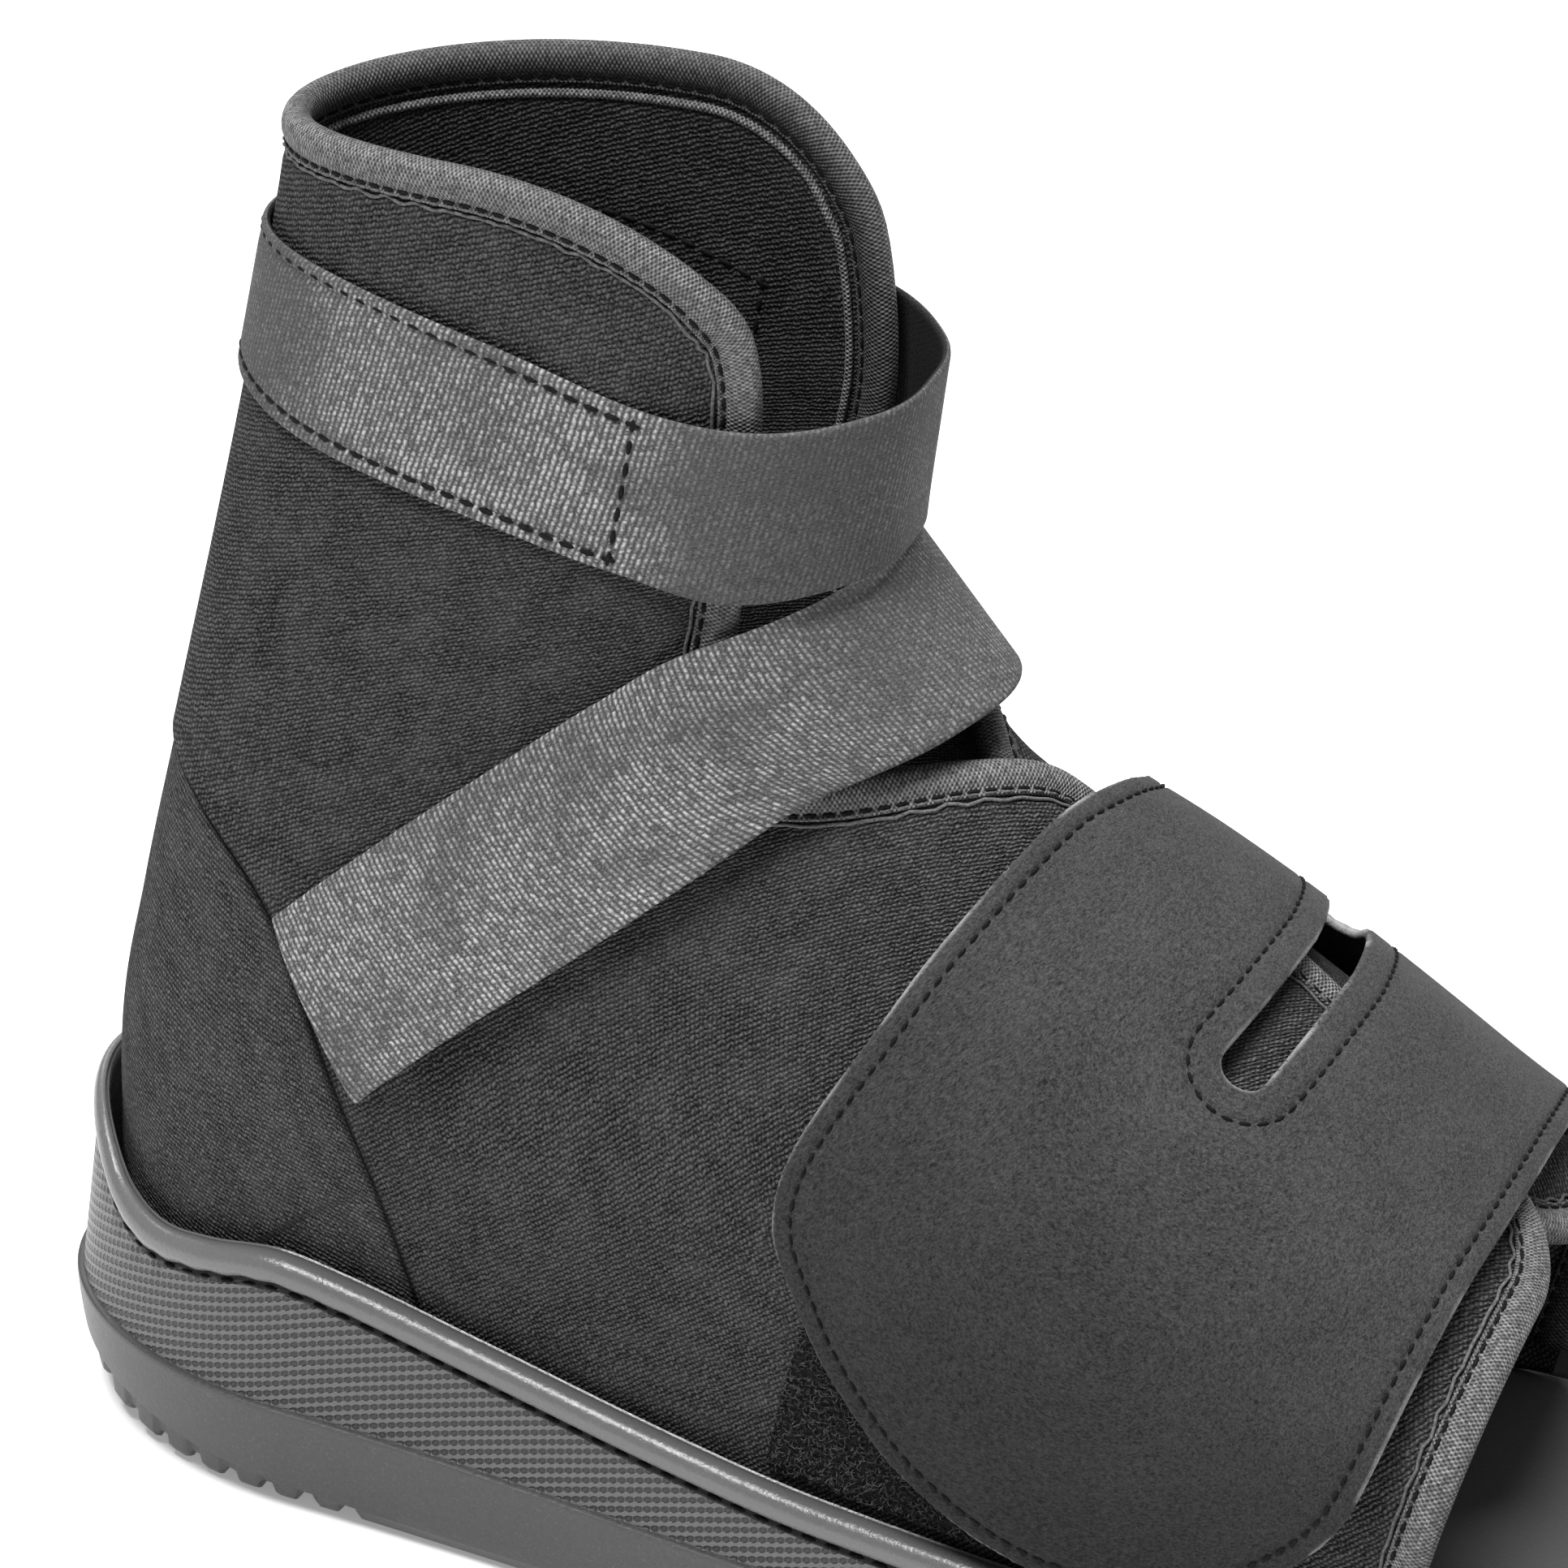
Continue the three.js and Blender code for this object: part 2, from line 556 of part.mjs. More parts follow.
// Heel counter: one block across the back and a wing along each side of the sole.
function heelCounter() {
  const backZ = (at) => hoopPoint(at, 0).z;
  const seamZ = (at) => read(SEAM, "x", hoopPoint(at, 0).x, "z") - SEAM_GAP;
  const top = crossing(4, 8, (at) => seamZ(at) - backZ(at)) + 0.08;
  const heel = crossing(7.5, 9, (at) => WALL_FOOT - backZ(at));
  const end = crossing(heel, 11, (at) => footTurn(at) - seamTurn(at, -SEAM_GAP) + 0.5);
  const half = 7;
  const corners = [];
  const faces = [];
  const corner = (at, turn) => {
    corners.push({ outer: skin(at, turn, -COUNTER_SET_IN), inner: skin(at, turn, -WALL) });
    return corners.length - 1;
  };
  const join = (rows) => {
    for (let i = 0; i + 1 < rows.length; i += 1) {
      for (let j = 0; j + 1 < rows[i].length; j += 1) {
        faces.push([rows[i][j], rows[i][j + 1], rows[i + 1][j + 1], rows[i + 1][j]]);
      }
    }
  };
  const back = spread(top, heel, 11).map((at) => {
    const reach = seamTurn(at, -SEAM_GAP);
    const shares = spread(-1, 1, 2 * half + 1);
    return shares.map((share) => corner(at, reach * Math.sign(share) * Math.abs(share) ** SPACING));
  });
  join(back);
  for (const side of [1, -1]) {
    const first = back.at(-1).slice(half);
    const shared = side > 0 ? first : back.at(-1).slice(0, half + 1).reverse();
    const wing = spread(heel, end, 5).slice(1).map((at) => {
      const [from, to] = [footTurn(at), seamTurn(at, -SEAM_GAP)];
      return spread(0, 1, half + 1).map((share) => corner(at, side * lerp(from, to, share ** SPACING)));
    });
    const rows = [shared, ...wing];
    join(side > 0 ? rows : rows.map((row) => [...row].reverse()));
  }
  return thickSheet(corners, faces);
}

function hookPatch() {
  return gridSheet(spread(0, 1, 9), spread(0, 1, 7), (along, up) => {
    const rear = lerp(PATCH.rearLow, PATCH.rearHigh, up);
    const at = lerp(rear, PATCH.front, along);
    const turn = lerp(rimTurn(at, PATCH.aboveRim), PATCH.turnHigh, up);
    return { outer: skin(at, turn, PATCH_GAP + PATCH_THICKNESS), inner: skin(at, turn, PATCH_GAP) };
  });
}

function collarStrap() {
  const turns = spread(COLLAR_STRAP[0].turn, COLLAR_STRAP.at(-1).turn, 45);
  return gridSheet(turns, spread(0, 1, 4), (turn, across) => {
    const value = (name) => read(COLLAR_STRAP, "turn", turn, name);
    const at = lerp(value("upper"), value("lower"), across);
    const off = STRAP_GAP + value("off");
    return { outer: skin(at, turn, off + STRAP_THICKNESS), inner: skin(at, turn, off) };
  });
}

function ankleStrap() {
  const end = ANKLE_STRAP.at(-1).row;
  return gridSheet(spread(-end, end, 35), spread(0, 1, 4), (place, across) => {
    const value = (name) => read(ANKLE_STRAP, "row", Math.abs(place), name);
    const at = lerp(value("upper"), value("lower"), across);
    const turn = lerp(value("upperTurn"), value("lowerTurn"), across);
    const bridge = 4 * across * (1 - across) * read(ANKLE_BRIDGE, "row", Math.abs(place), "rise");
    const off = STRAP_GAP + lerp(value("upperOff"), value("lowerOff"), across) + bridge;
    const sided = (p) => (place < 0 ? mirrored(p) : p);
    const outer = sided(skin(at, turn, off + STRAP_THICKNESS));
    return { outer, inner: sided(skin(at, turn, off)) };
  });
}

// Half width of the slot, in hoops, at an angle from the slot's middle.
function slotHalf(fromMiddle) {
  const share = Math.max(Math.abs(fromMiddle) - SLOT.half + SLOT.round, 0) / SLOT.round;
  return SLOT.width * Math.sqrt(1 - share * share);
}

function forefootFlap() {
  const turns = [...spread(FLAP[0].turn, 100, 9), ...spread(100, FLAP.at(-1).turn, 20).slice(1)];
  const sheet = gridSheet(turns, spread(0, 1, 8), (turn, along) => {
    const at = lerp(read(FLAP, "turn", turn, "rear"), read(FLAP, "turn", turn, "front"), along);
    const outer = skin(at, turn, 0, FLAP_FORM);
    return { outer, inner: skin(at, turn, -FLAP_THICKNESS, FLAP_FORM) };
  });
  const reach = SLOT.half - 0.02 * SLOT.round;
  const round = spread(-reach, -SLOT.half + SLOT.round, 5);
  const ends = round.map((a) => -a).reverse();
  const cutter = gridSheet([...round, ...spread(round.at(-1), ends[0], 7).slice(1, -1), ...ends], [-1, 1],
    (fromMiddle, side) => {
      const at = SLOT.at - SLOT.slant * Math.abs(fromMiddle) + side * slotHalf(fromMiddle);
      const turn = SLOT.middle + fromMiddle;
      return { outer: skin(at, turn, 4, FLAP_FORM), inner: skin(at, turn, -6, FLAP_FORM) };
    });
  return toGeometry(toManifold(sheet).subtract(toManifold(cutter)));
}

// Path of the binding along one side, from the sole at the toes to the middle of the back.
function bindingPath(left) {
  const last = HOOPS.at(-1).at;
  const toe = spread(rimTurn(last, 1.6), edgeTurn(last, left), 7).map((turn) => ({ at: last, turn }));
  const edge = [...WALL_HOOPS].reverse().slice(1).map((at) => ({ at, turn: edgeTurn(at, left) }));
  const collar = spread(edgeTurn(0, left), 0, 9).slice(1).map((turn) => ({ at: 0, turn }));
  return [...toe, ...edge, ...collar];
}

// Section of the folded tape round the edge of a wall.
function bindingSection(path, i, form) {
  const { at, turn } = path[i];
  const before = path[Math.max(i - 1, 0)];
  const after = path[i + 1] ?? { at: before.at, turn: -before.turn };
  const normal = normalAt(at, turn, form);
  const way = hoopPoint(after.at, after.turn, form).sub(hoopPoint(before.at, before.turn, form));
  const inward = new THREE.Vector3().crossVectors(normal, way).normalize();
  const step = { at: at < 7 ? 0.02 : -0.02, turn: -0.5 };
  const edge = hoopPoint(at, turn, form);
  const alongAt = hoopPoint(at + step.at, turn, form).sub(edge).divideScalar(step.at);
  const alongTurn = hoopPoint(at, turn + step.turn, form).sub(edge).divideScalar(step.turn);
  const [aa, at2, tt] = [alongAt.dot(alongAt), alongAt.dot(alongTurn), alongTurn.dot(alongTurn)];
  const [ab, tb] = [alongAt.dot(inward), alongTurn.dot(inward)];
  const size = BINDING.depth / (aa * tt - at2 * at2);
  const tip = { at: at + size * (ab * tt - tb * at2), turn: turn + size * (tb * aa - ab * at2) };
  const near = BINDING.clearance - EDGE_PINCH.depth;
  const far = near + BINDING.thickness;
  const onEdge = (off, past) => skin(at, turn, off, form).addScaledVector(inward, -past);
  const onTip = (off) => skin(tip.at, tip.turn, off, form);
  return [
    onTip(far),
    onEdge(far, 0),
    onEdge(far - 0.6, 0.65 * BINDING.crown),
    onEdge(-WALL / 2, BINDING.crown),
    onEdge(0.6 - WALL - far, 0.65 * BINDING.crown),
    onEdge(-WALL - far, 0),
    onTip(-WALL - far),
    onTip(-WALL - near),
    onEdge(-WALL - near, GAP),
    onEdge(near, GAP),
    onTip(near),
  ];
}

function edgeBinding() {
  const [rightPath, leftPath] = [bindingPath(false), bindingPath(true)];
  const right = rightPath.map((_, i) => bindingSection(rightPath, i, { lap: false }));
  const left = leftPath.map((_, i) => bindingSection(leftPath, i, { lap: true }).map(mirrored));
  const sections = [...right, ...left.slice(0, -1).reverse()];
  const { points, triangles, size } = sectionTube(sections);
  const cap = THREE.ShapeUtils.triangulateShape(channelShape(), []);
  const end = points.length - size;
  for (const [a, b, c] of cap) triangles.push([a, c, b], [a + end, b + end, c + end]);
  return closedGeometry(points, triangles);
}

// The tape's section laid flat, in the order of its points, for closing the two ends.
function channelShape() {
  const near = BINDING.clearance - EDGE_PINCH.depth;
  const far = near + BINDING.thickness;
  const { depth, crown } = BINDING;
  return [
    [depth, far], [0, far], [-0.65 * crown, far - 0.6], [-crown, -WALL / 2],
    [-0.65 * crown, 0.6 - WALL - far], [0, -WALL - far], [depth, -WALL - far],
    [depth, -WALL - near], [-GAP, -WALL - near], [-GAP, near], [depth, near],
  ].map(([x, y]) => new THREE.Vector2(x, y));
}

const RUBBER = new THREE.MeshStandardMaterial({ color: 0x5a5a5c, roughness: 0.55, metalness: 0 });
const FOAM = new THREE.MeshStandardMaterial({ color: 0x2c2c2e, roughness: 0.85, metalness: 0 });
const KNIT = new THREE.MeshStandardMaterial({ color: 0x303032, roughness: 0.95, metalness: 0 });
const TAPE = new THREE.MeshStandardMaterial({ color: 0x4c4c4e, roughness: 0.8, metalness: 0 });
const PILE = new THREE.MeshStandardMaterial({ color: 0x1c1c1e, roughness: 1, metalness: 0 });
const WEBBING = new THREE.MeshStandardMaterial({ color: 0x626264, roughness: 0.8, metalness: 0 });
const BRUSHED = new THREE.MeshStandardMaterial({ color: 0x3e3e40, roughness: 0.9, metalness: 0 });

const PIECES = [
  { name: "outsole", geometry: outsole(), material: RUBBER },
  { name: "insole", geometry: insole(), material: FOAM },
  { name: "heel_counter", geometry: heelCounter(), material: KNIT },
  { name: "quarter_right", geometry: sideWall(false), material: KNIT },
  { name: "quarter_left", geometry: sideWall(true), material: KNIT },
  { name: "edge_binding", geometry: edgeBinding(), material: TAPE },
  { name: "hook_patch", geometry: hookPatch(), material: PILE },
  { name: "collar_strap", geometry: collarStrap(), material: WEBBING },
  { name: "ankle_strap", geometry: ankleStrap(), material: WEBBING },
  { name: "forefoot_flap", geometry: forefootFlap(), material: BRUSHED },
];

// The frame's origin is the middle of the sole's underside.
const boot = new THREE.Group();
boot.name = "cast_boot";
for (const { name, geometry, material } of PIECES) {
  geometry.translate(-SOLE_LENGTH / 2, 0, 0);
  const mesh = new THREE.Mesh(geometry, material);
  mesh.name = name;
  boot.add(mesh);
}

export default boot;
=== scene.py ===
# %% [markdown]
# # A cast boot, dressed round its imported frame
# A cast boot goes over a bandaged or casted foot. A rubber cup sole carries a soft knitted upper
# that is open at the collar, down the throat and at the toes, so that the foot goes in from above.
# Two webbing straps and one wide flap close it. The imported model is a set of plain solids. This
# lesson lays a detailed piece over each of them, in the same frame, and never moves a solid.

# %% Load the frame
import math
import bpy
import numpy as np
from mathutils import Matrix, Vector
from mathutils.geometry import delaunay_2d_cdt


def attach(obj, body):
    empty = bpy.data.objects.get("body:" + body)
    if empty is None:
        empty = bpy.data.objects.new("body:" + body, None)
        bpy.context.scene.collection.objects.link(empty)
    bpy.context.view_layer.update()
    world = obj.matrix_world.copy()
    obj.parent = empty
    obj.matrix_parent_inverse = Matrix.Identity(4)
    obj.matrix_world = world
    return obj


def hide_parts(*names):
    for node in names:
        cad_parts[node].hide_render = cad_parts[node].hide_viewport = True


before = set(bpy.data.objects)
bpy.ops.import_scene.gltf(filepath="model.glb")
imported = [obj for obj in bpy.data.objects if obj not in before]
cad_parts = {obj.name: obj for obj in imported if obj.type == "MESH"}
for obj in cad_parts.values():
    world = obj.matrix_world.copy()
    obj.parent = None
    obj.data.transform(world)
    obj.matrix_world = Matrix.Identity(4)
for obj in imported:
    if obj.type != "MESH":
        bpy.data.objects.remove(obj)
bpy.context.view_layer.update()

print("solids in the frame:", sorted(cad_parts))

# %% [markdown]
# ## The camera and the studio
# The photograph was taken with a long lens from the wearer's right, a little ahead of the boot and
# about thirty degrees above it. A long lens far away keeps the two sides of the sole nearly
# parallel. The camera leans by a small roll, which is turned in with its axes.

# %% Camera
AZIMUTH, ELEVATION, ROLL = (math.radians(a) for a in (20.0, 29.0, 2.5))
CAMERA_AWAY = 1.2
right = np.array([math.cos(AZIMUTH), math.sin(AZIMUTH), 0.0])
ahead = np.array([
    -math.sin(AZIMUTH) * math.cos(ELEVATION),
    math.cos(AZIMUTH) * math.cos(ELEVATION),
    -math.sin(ELEVATION),
])
above = np.cross(right, ahead)
look_at = np.array([-0.032418, 0.0, 0.128925])
axes = [
    right * math.cos(ROLL) + above * math.sin(ROLL),
    above * math.cos(ROLL) - right * math.sin(ROLL),
    -ahead,
]
lens = bpy.data.cameras.new("camera")
lens.sensor_width = 36.0
lens.lens = 178.88
lens.clip_end = 20.0
camera = bpy.data.objects.new("camera", lens)
turned = Matrix([list(axis) for axis in axes]).transposed().to_4x4()
camera.matrix_world = Matrix.Translation(Vector(look_at - CAMERA_AWAY * ahead)) @ turned
bpy.context.collection.objects.link(camera)
bpy.context.scene.camera = camera
bpy.context.scene.view_settings.view_transform = "Standard"
print("camera at", [round(v, 3) for v in camera.location])

# %% [markdown]
# The light is a plain white studio: a dim even surround, one soft box above the camera's side, one
# overhead, and a weak one behind that draws a pale line along the far edges. The floor is matt and
# gives off a little light of its own, so that it stays white and takes only a soft shadow.

# %% Lights and floor
def soft_box(name, place, target, size, power):
    data = bpy.data.lights.new(name, "AREA")
    data.shape = "DISK"
    data.size = size
    data.energy = power
    lamp = bpy.data.objects.new(name, data)
    way = Vector(target) - Vector(place)
    lamp.matrix_world = Matrix.Translation(place) @ way.to_track_quat("-Z", "Y").to_matrix().to_4x4()
    bpy.context.collection.objects.link(lamp)
    return lamp


studio = bpy.data.worlds.new("studio")
studio.use_nodes = True
studio.node_tree.nodes["Background"].inputs["Color"].default_value = (1.0, 1.0, 1.0, 1.0)
studio.node_tree.nodes["Background"].inputs["Strength"].default_value = 0.25
bpy.context.scene.world = studio
boxes = [
    soft_box("key", (-0.3, -0.6, 1.55), (0.0, 0.0, 0.08), 0.5, 24.0),
    soft_box("back", (-0.9, 0.9, 1.1), (0.0, 0.0, 0.12), 0.8, 7.0),
    soft_box("top", (0.1, 0.15, 1.7), (0.0, 0.0, 0.1), 0.7, 26.0),
]
FLOOR_REACH, FLOOR_Z = 4, -0.0006
floor_mesh = bpy.data.meshes.new("floor")
corners = [(x * FLOOR_REACH, y * FLOOR_REACH, FLOOR_Z) for x, y in ((-1, -1), (1, -1), (1, 1), (-1, 1))]
floor_mesh.from_pydata(corners, [], [(0, 1, 2, 3)])
floor = bpy.data.objects.new("floor", floor_mesh)
bpy.context.collection.objects.link(floor)
print("soft boxes:", [b.name for b in boxes])

# %% [markdown]
# ## The form under the cloth
# Everything soft on this boot lies on one form, the shape of the foot and leg inside it. The form
# is a row of hoops, from the collar through the ankle to the toes. A place on it is a pair of
# numbers: `at` counts the hoops, and `turn` is the angle round a hoop, from the back or the
# underfoot (0) over the right side (90) to the front or the instep (180). Sheets, seams and straps
# are drawn in these two numbers and then stand off the form by a distance in millimetres.

# %% Tables of the form
def table(columns, text):
    """Rows of numbers, as one array for each named column."""
    rows = np.array([[float(v) for v in line.split()] for line in text.strip().splitlines()])
    return dict(zip(columns.split(), rows.T))


RIM = table("x z", """
    0 55
    6 51
    14 44.8
    23 42.6
    34 44.2
    48 46.7
    60 45
    85 39.7
    117 34
    145 31
    240 29
    300 28
""")
HOOPS = table("at backX backZ frontX frontZ width corner edge", """
    0 34.5 228.3 141 231 28 2 122
    1 33.4 219 140.5 222 28.2 2 124
    2 32 209.5 140 212.5 28.5 2 126.5
    3 27.8 184 138 191 29.4 2 129
    4 22.6 155 136.5 174 31 2 130
    5 16.3 122 137 161 33.6 2 130
    6 10.8 92 143 152.5 36.2 2.1 134
    7 7.6 62 151.5 147 38.6 2.4 162
    8 8.6 32 160.5 142 41.4 3 180
    9 38 17 171 133.8 44 3.6 186
    10 82 16 185 126.3 46.5 4 187
    11 128 16 202 115.7 48.5 4.4 186
    12 172 16 220 102.7 50 4.8 184
    13 207 16 235.5 90.4 51 5 181
    14 234.5 16 248.5 81.6 51.5 5 176
""")
LEFT_EDGE = table("at edge", """
    0 125
    1 127.5
    2 131.5
    3 138
    4 136.5
    5 135
    6 148
    7 180
    8 186
    9 187
    10 187
    11 186
    12 184
    13 181
    14 176
""")
SEAM = table("x z", """
    0 124
    14 121.5
    30 115
    45 105
    56 87
    64.5 67.5
    70 47.5
    81 14
""")
print("hoops:", len(HOOPS["at"]))

# %% Reading tables and finding places
def blend(low, high, share):
    return low + (high - low) * share


def smooth(value, low, high):
    share = np.clip((np.asarray(value, float) - low) / (high - low), 0, 1)
    return share * share * (3 - 2 * share)


def read(rows, place, column):
    """A column's value at a place, on a smooth curve through the table's rows."""
    key, value = next(iter(rows.values())), rows[column]
    last = len(key) - 1
    low, high = np.maximum(np.arange(last + 1) - 1, 0), np.minimum(np.arange(last + 1) + 1, last)
    slope = (value[high] - value[low]) / (key[high] - key[low])
    place = np.asarray(place, float)
    i = np.searchsorted(key[1:last], place)
    span = key[i + 1] - key[i]
    t = np.clip((place - key[i]) / span, 0, 1)
    bend = (1 - t) ** 2 * t * slope[i] - t ** 2 * (1 - t) * slope[i + 1]
    return blend(value[i], value[i + 1], t * t * (3 - 2 * t)) + span * bend


def crossing(low, high, height):
    """Where a rising function crosses zero, for a whole array of places at once."""
    low, high = np.array(low, float), np.array(high, float)
    for _ in range(36):
        middle = (low + high) / 2
        below = height(middle) < 0
        low, high = np.where(below, middle, low), np.where(below, high, middle)
    return (low + high) / 2


print("rim at the heel and the toes:", read(RIM, [0.0, 300.0], "z"))

# %% The sole's outline and the hoops
SOLE_LENGTH, HEEL_LENGTH, HEEL_HALF, BALL_X, BALL_HALF, TOE_SQUARENESS = 300, 52, 40, 225, 55, 3.2
SOLE_WALL, CUP_GAP, CUP_FLOOR, WALL, WALL_FOOT = 5.5, 1.2, 18.0, 3.0, 25.4
LAP, FRONT_SQUARENESS, LAST_HOOP = 5.6, 2.2, 14
SEAM_GAP, COUNTER_SET_IN = 0.35, 0.8


def sole_half(x, inset):
    """Half the breadth of the sole at a distance from the heel, drawn in by an inset."""
    back = np.clip((HEEL_LENGTH - x) / (HEEL_LENGTH - inset), -1, 1)
    heel = (HEEL_HALF - inset) * np.sqrt(1 - back ** 2)
    side = blend(HEEL_HALF - inset, BALL_HALF - inset, smooth(x, HEEL_LENGTH, BALL_X))
    front = np.clip((x - BALL_X) / (SOLE_LENGTH - BALL_X - inset), 0, 1)
    toe = (BALL_HALF - inset) * (1 - front ** TOE_SQUARENESS) ** (1 / TOE_SQUARENESS)
    return np.where(x < HEEL_LENGTH, heel, np.where(x < BALL_X, side, toe))


def held_by_sole(point):
    """The cup holds the foot of the upper on a line just inside the sole's wall."""
    inset = SOLE_WALL + CUP_GAP
    x, y, z = np.moveaxis(point, -1, 0)
    rim = read(RIM, x, "z")
    hold = 1 - smooth((z - rim + 3) / 48, 0, 1)
    reach = np.hypot((x - HEEL_LENGTH) / (HEEL_LENGTH - inset), y / (HEEL_HALF - inset))
    reach = np.maximum(reach, 1e-6)
    heel = x < HEEL_LENGTH
    to_x = np.where(heel, HEEL_LENGTH + (x - HEEL_LENGTH) / reach, x)
    to_y = np.where(heel, y / reach, np.sign(y) * sole_half(x, inset))
    return np.stack([blend(x, to_x, hold), blend(y, to_y, hold), z], -1)


def eased(at, column):
    """A column of the hoops, averaged over a short stretch so that no knot shows as a crease."""
    step = np.minimum(0.3, np.minimum(at, LAST_HOOP - at).clip(0))
    return (read(HOOPS, at - step, column) + 2 * read(HOOPS, at, column) + read(HOOPS, at + step, column)) / 4


def hoop(at, turn, lap=False, grow=0.0, lift=0.0):
    """A point on the closed form, or on a looser form round it."""
    at, turn = np.broadcast_arrays(np.asarray(at, float), np.asarray(turn, float))
    cos, sin = np.cos(np.radians(turn)), np.sin(np.radians(turn))
    power = blend(FRONT_SQUARENESS, eased(at, "corner"), smooth(cos, -0.22, 0.22))
    reach = (np.abs(cos) ** power + np.abs(sin) ** power) ** (-1 / power)
    along, out = (1 - cos * reach) / 2, sin * reach
    arch = 4.5 * np.maximum(1 - at / 3, 0) * out ** 2
    drop = LAP * smooth(at, 5.9, 7.8) * smooth(turn, 105, 165) if lap else 0.0
    point = np.stack([
        blend(eased(at, "backX"), eased(at, "frontX"), along),
        -(eased(at, "width") + grow) * out,
        blend(eased(at, "backZ"), eased(at, "frontZ") + lift - drop, along) + arch,
    ], -1)
    return point if grow else held_by_sole(point)


def unit(rows):
    return rows / np.maximum(np.linalg.norm(rows, axis=-1, keepdims=True), 1e-12)


def outward(at, turn, **form):
    low = np.clip(at, 0.02, 13.98)
    along_at = hoop(low + 0.02, turn, **form) - hoop(low - 0.02, turn, **form)
    along_turn = hoop(at, np.asarray(turn) + 0.5, **form) - hoop(at, np.asarray(turn) - 0.5, **form)
    return unit(np.cross(along_at, along_turn))


def skin(at, turn, off=0.0, **form):
    """A point that stands off the form by a distance, outward positive."""
    return hoop(at, turn, **form) + outward(at, turn, **form) * np.asarray(off, float)[..., None]


print("top of the collar's back:", hoop(0, 0).round(1))

# %% Edges of the walls on the hoops
def foot_turn(at):
    """Where a hoop comes up from the floor of the cup."""
    at = np.asarray(at, float)
    found = crossing(np.zeros_like(at), np.full_like(at, 90), lambda t: hoop(at, t)[..., 2] - WALL_FOOT)
    return np.where(hoop(at, 0.01)[..., 2] > WALL_FOOT, 0, found)


def seam_turn(at, margin):
    """Where a hoop crosses the heel counter's seam."""
    def over(turn):
        point = hoop(at, turn)
        return point[..., 2] - read(SEAM, point[..., 0], "z") - margin
    foot = foot_turn(at)
    found = crossing(foot, np.full_like(foot, 120), over)
    return np.where(over(foot + 0.01) > 0, foot, found)


def edge_turn(at, left=False):
    """Where a side wall stops. Its corners at the collar and the toes are round."""
    collar = np.maximum(2.6 - at, 0) / 2.6
    toe = np.maximum(at - 13.2, 0) / 0.8
    top = 32 if left else 50
    rounds = top * (1 - np.sqrt(1 - collar ** 2)) + 16 * (1 - np.sqrt(np.maximum(1 - toe ** 2, 0)))
    return read(LEFT_EDGE if left else HOOPS, at, "edge") - rounds


def rim_turn(at, above_rim):
    def over(turn):
        point = hoop(at, turn)
        return point[..., 2] - read(RIM, point[..., 0], "z") - above_rim
    at = np.asarray(at, float)
    return crossing(np.full_like(at, 5), np.full_like(at, 90), over)


print("throat edge at the ankle, degrees:", edge_turn(np.array([5.0])))

# %% [markdown]
# ## From grids to cloth
# A sheet of cloth is two grids of points, its outer and its inner face, closed round the border.
# Near a cut edge the two faces run together in a half circle, so the edge looks soft. Each corner
# also keeps where it lies on the flat cloth, in millimetres, as the attribute `cloth`, and which
# face it is on. The materials read these, so that a weave follows the sheet round every bend.

# %% Meshes
ORIGIN = np.array([150.0, 0.0, 0.0])
MIRROR = np.array([1.0, -1.0, 1.0])


def volume(points, faces):
    total = 0.0
    for face in faces:
        a = points[face[:, 0]]
        for k in range(1, face.shape[1] - 1):
            total += (a * np.cross(points[face[:, k]], points[face[:, k + 1]])).sum()
    return total


def make_piece(name, points, faces, finish, layers=None, node=None, sharp=None):
    """One finished object at the origin: points in millimetres, faces as arrays of corners."""
    faces = [np.asarray(f) for f in faces if len(f)]
    if volume(points, faces) < 0:
        faces = [f[:, ::-1] for f in faces]
    mesh = bpy.data.meshes.new(name)
    mesh.from_pydata(((points - ORIGIN) * 0.001).tolist(), [], [q for f in faces for q in f.tolist()])
    for key, rows in (layers or {}).items():
        kind, field = ("FLOAT_VECTOR", "vector") if rows.ndim == 2 else ("FLOAT", "value")
        mesh.attributes.new(key, kind, "POINT").data.foreach_set(field, rows.astype(np.float32).ravel())
    mesh.shade_smooth()
    if sharp is not None:
        mesh.set_sharp_from_angle(angle=math.radians(sharp))
    mesh.materials.append(finish)
    return place_piece(bpy.data.objects.new(name, mesh), node)


def place_piece(piece, node=None):
    bpy.context.collection.objects.link(piece)
    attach(piece, "root")
    if node:
        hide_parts(node)
    print(piece.name, "has", len(piece.data.polygons), "faces")
    return piece


def grid_faces(rows, columns):
    index = np.arange(rows * columns).reshape(rows, columns)
    corners = index[:-1, :-1], index[:-1, 1:], index[1:, 1:], index[1:, :-1]
    return np.stack(corners, -1).reshape(-1, 4)


def close_sheet(count, faces):
    """Faces of a sheet's other side, and of the narrow wall round its borders."""
    edges = np.concatenate([np.stack([f[:, k], f[:, (k + 1) % f.shape[1]]], 1)
                            for f in faces for k in range(f.shape[1])])
    known = set(map(tuple, edges.tolist()))
    open_edges = np.array([e for e in edges.tolist() if (e[1], e[0]) not in known])
    a, b = open_edges.T
    wall = np.stack([b, a, a + count, b + count], 1)
    return [*faces, *[f[:, ::-1] + count for f in faces], wall]


def make_sheet(name, outer, inner, cloth, faces, finish, slot, node=None, **more):
    """A closed sheet from matching points of its two faces, with any more layers by name."""
    count = len(outer)
    layers = {
        "cloth": np.concatenate([cloth, cloth]),
        "face": np.concatenate([np.ones(count), np.zeros(count)]),
    }
    layers.update({key: np.concatenate([rows, rows]) for key, rows in more.items()})
    return make_piece(name, np.concatenate([outer, inner]), close_sheet(count, faces), finish,
                      layers, node)


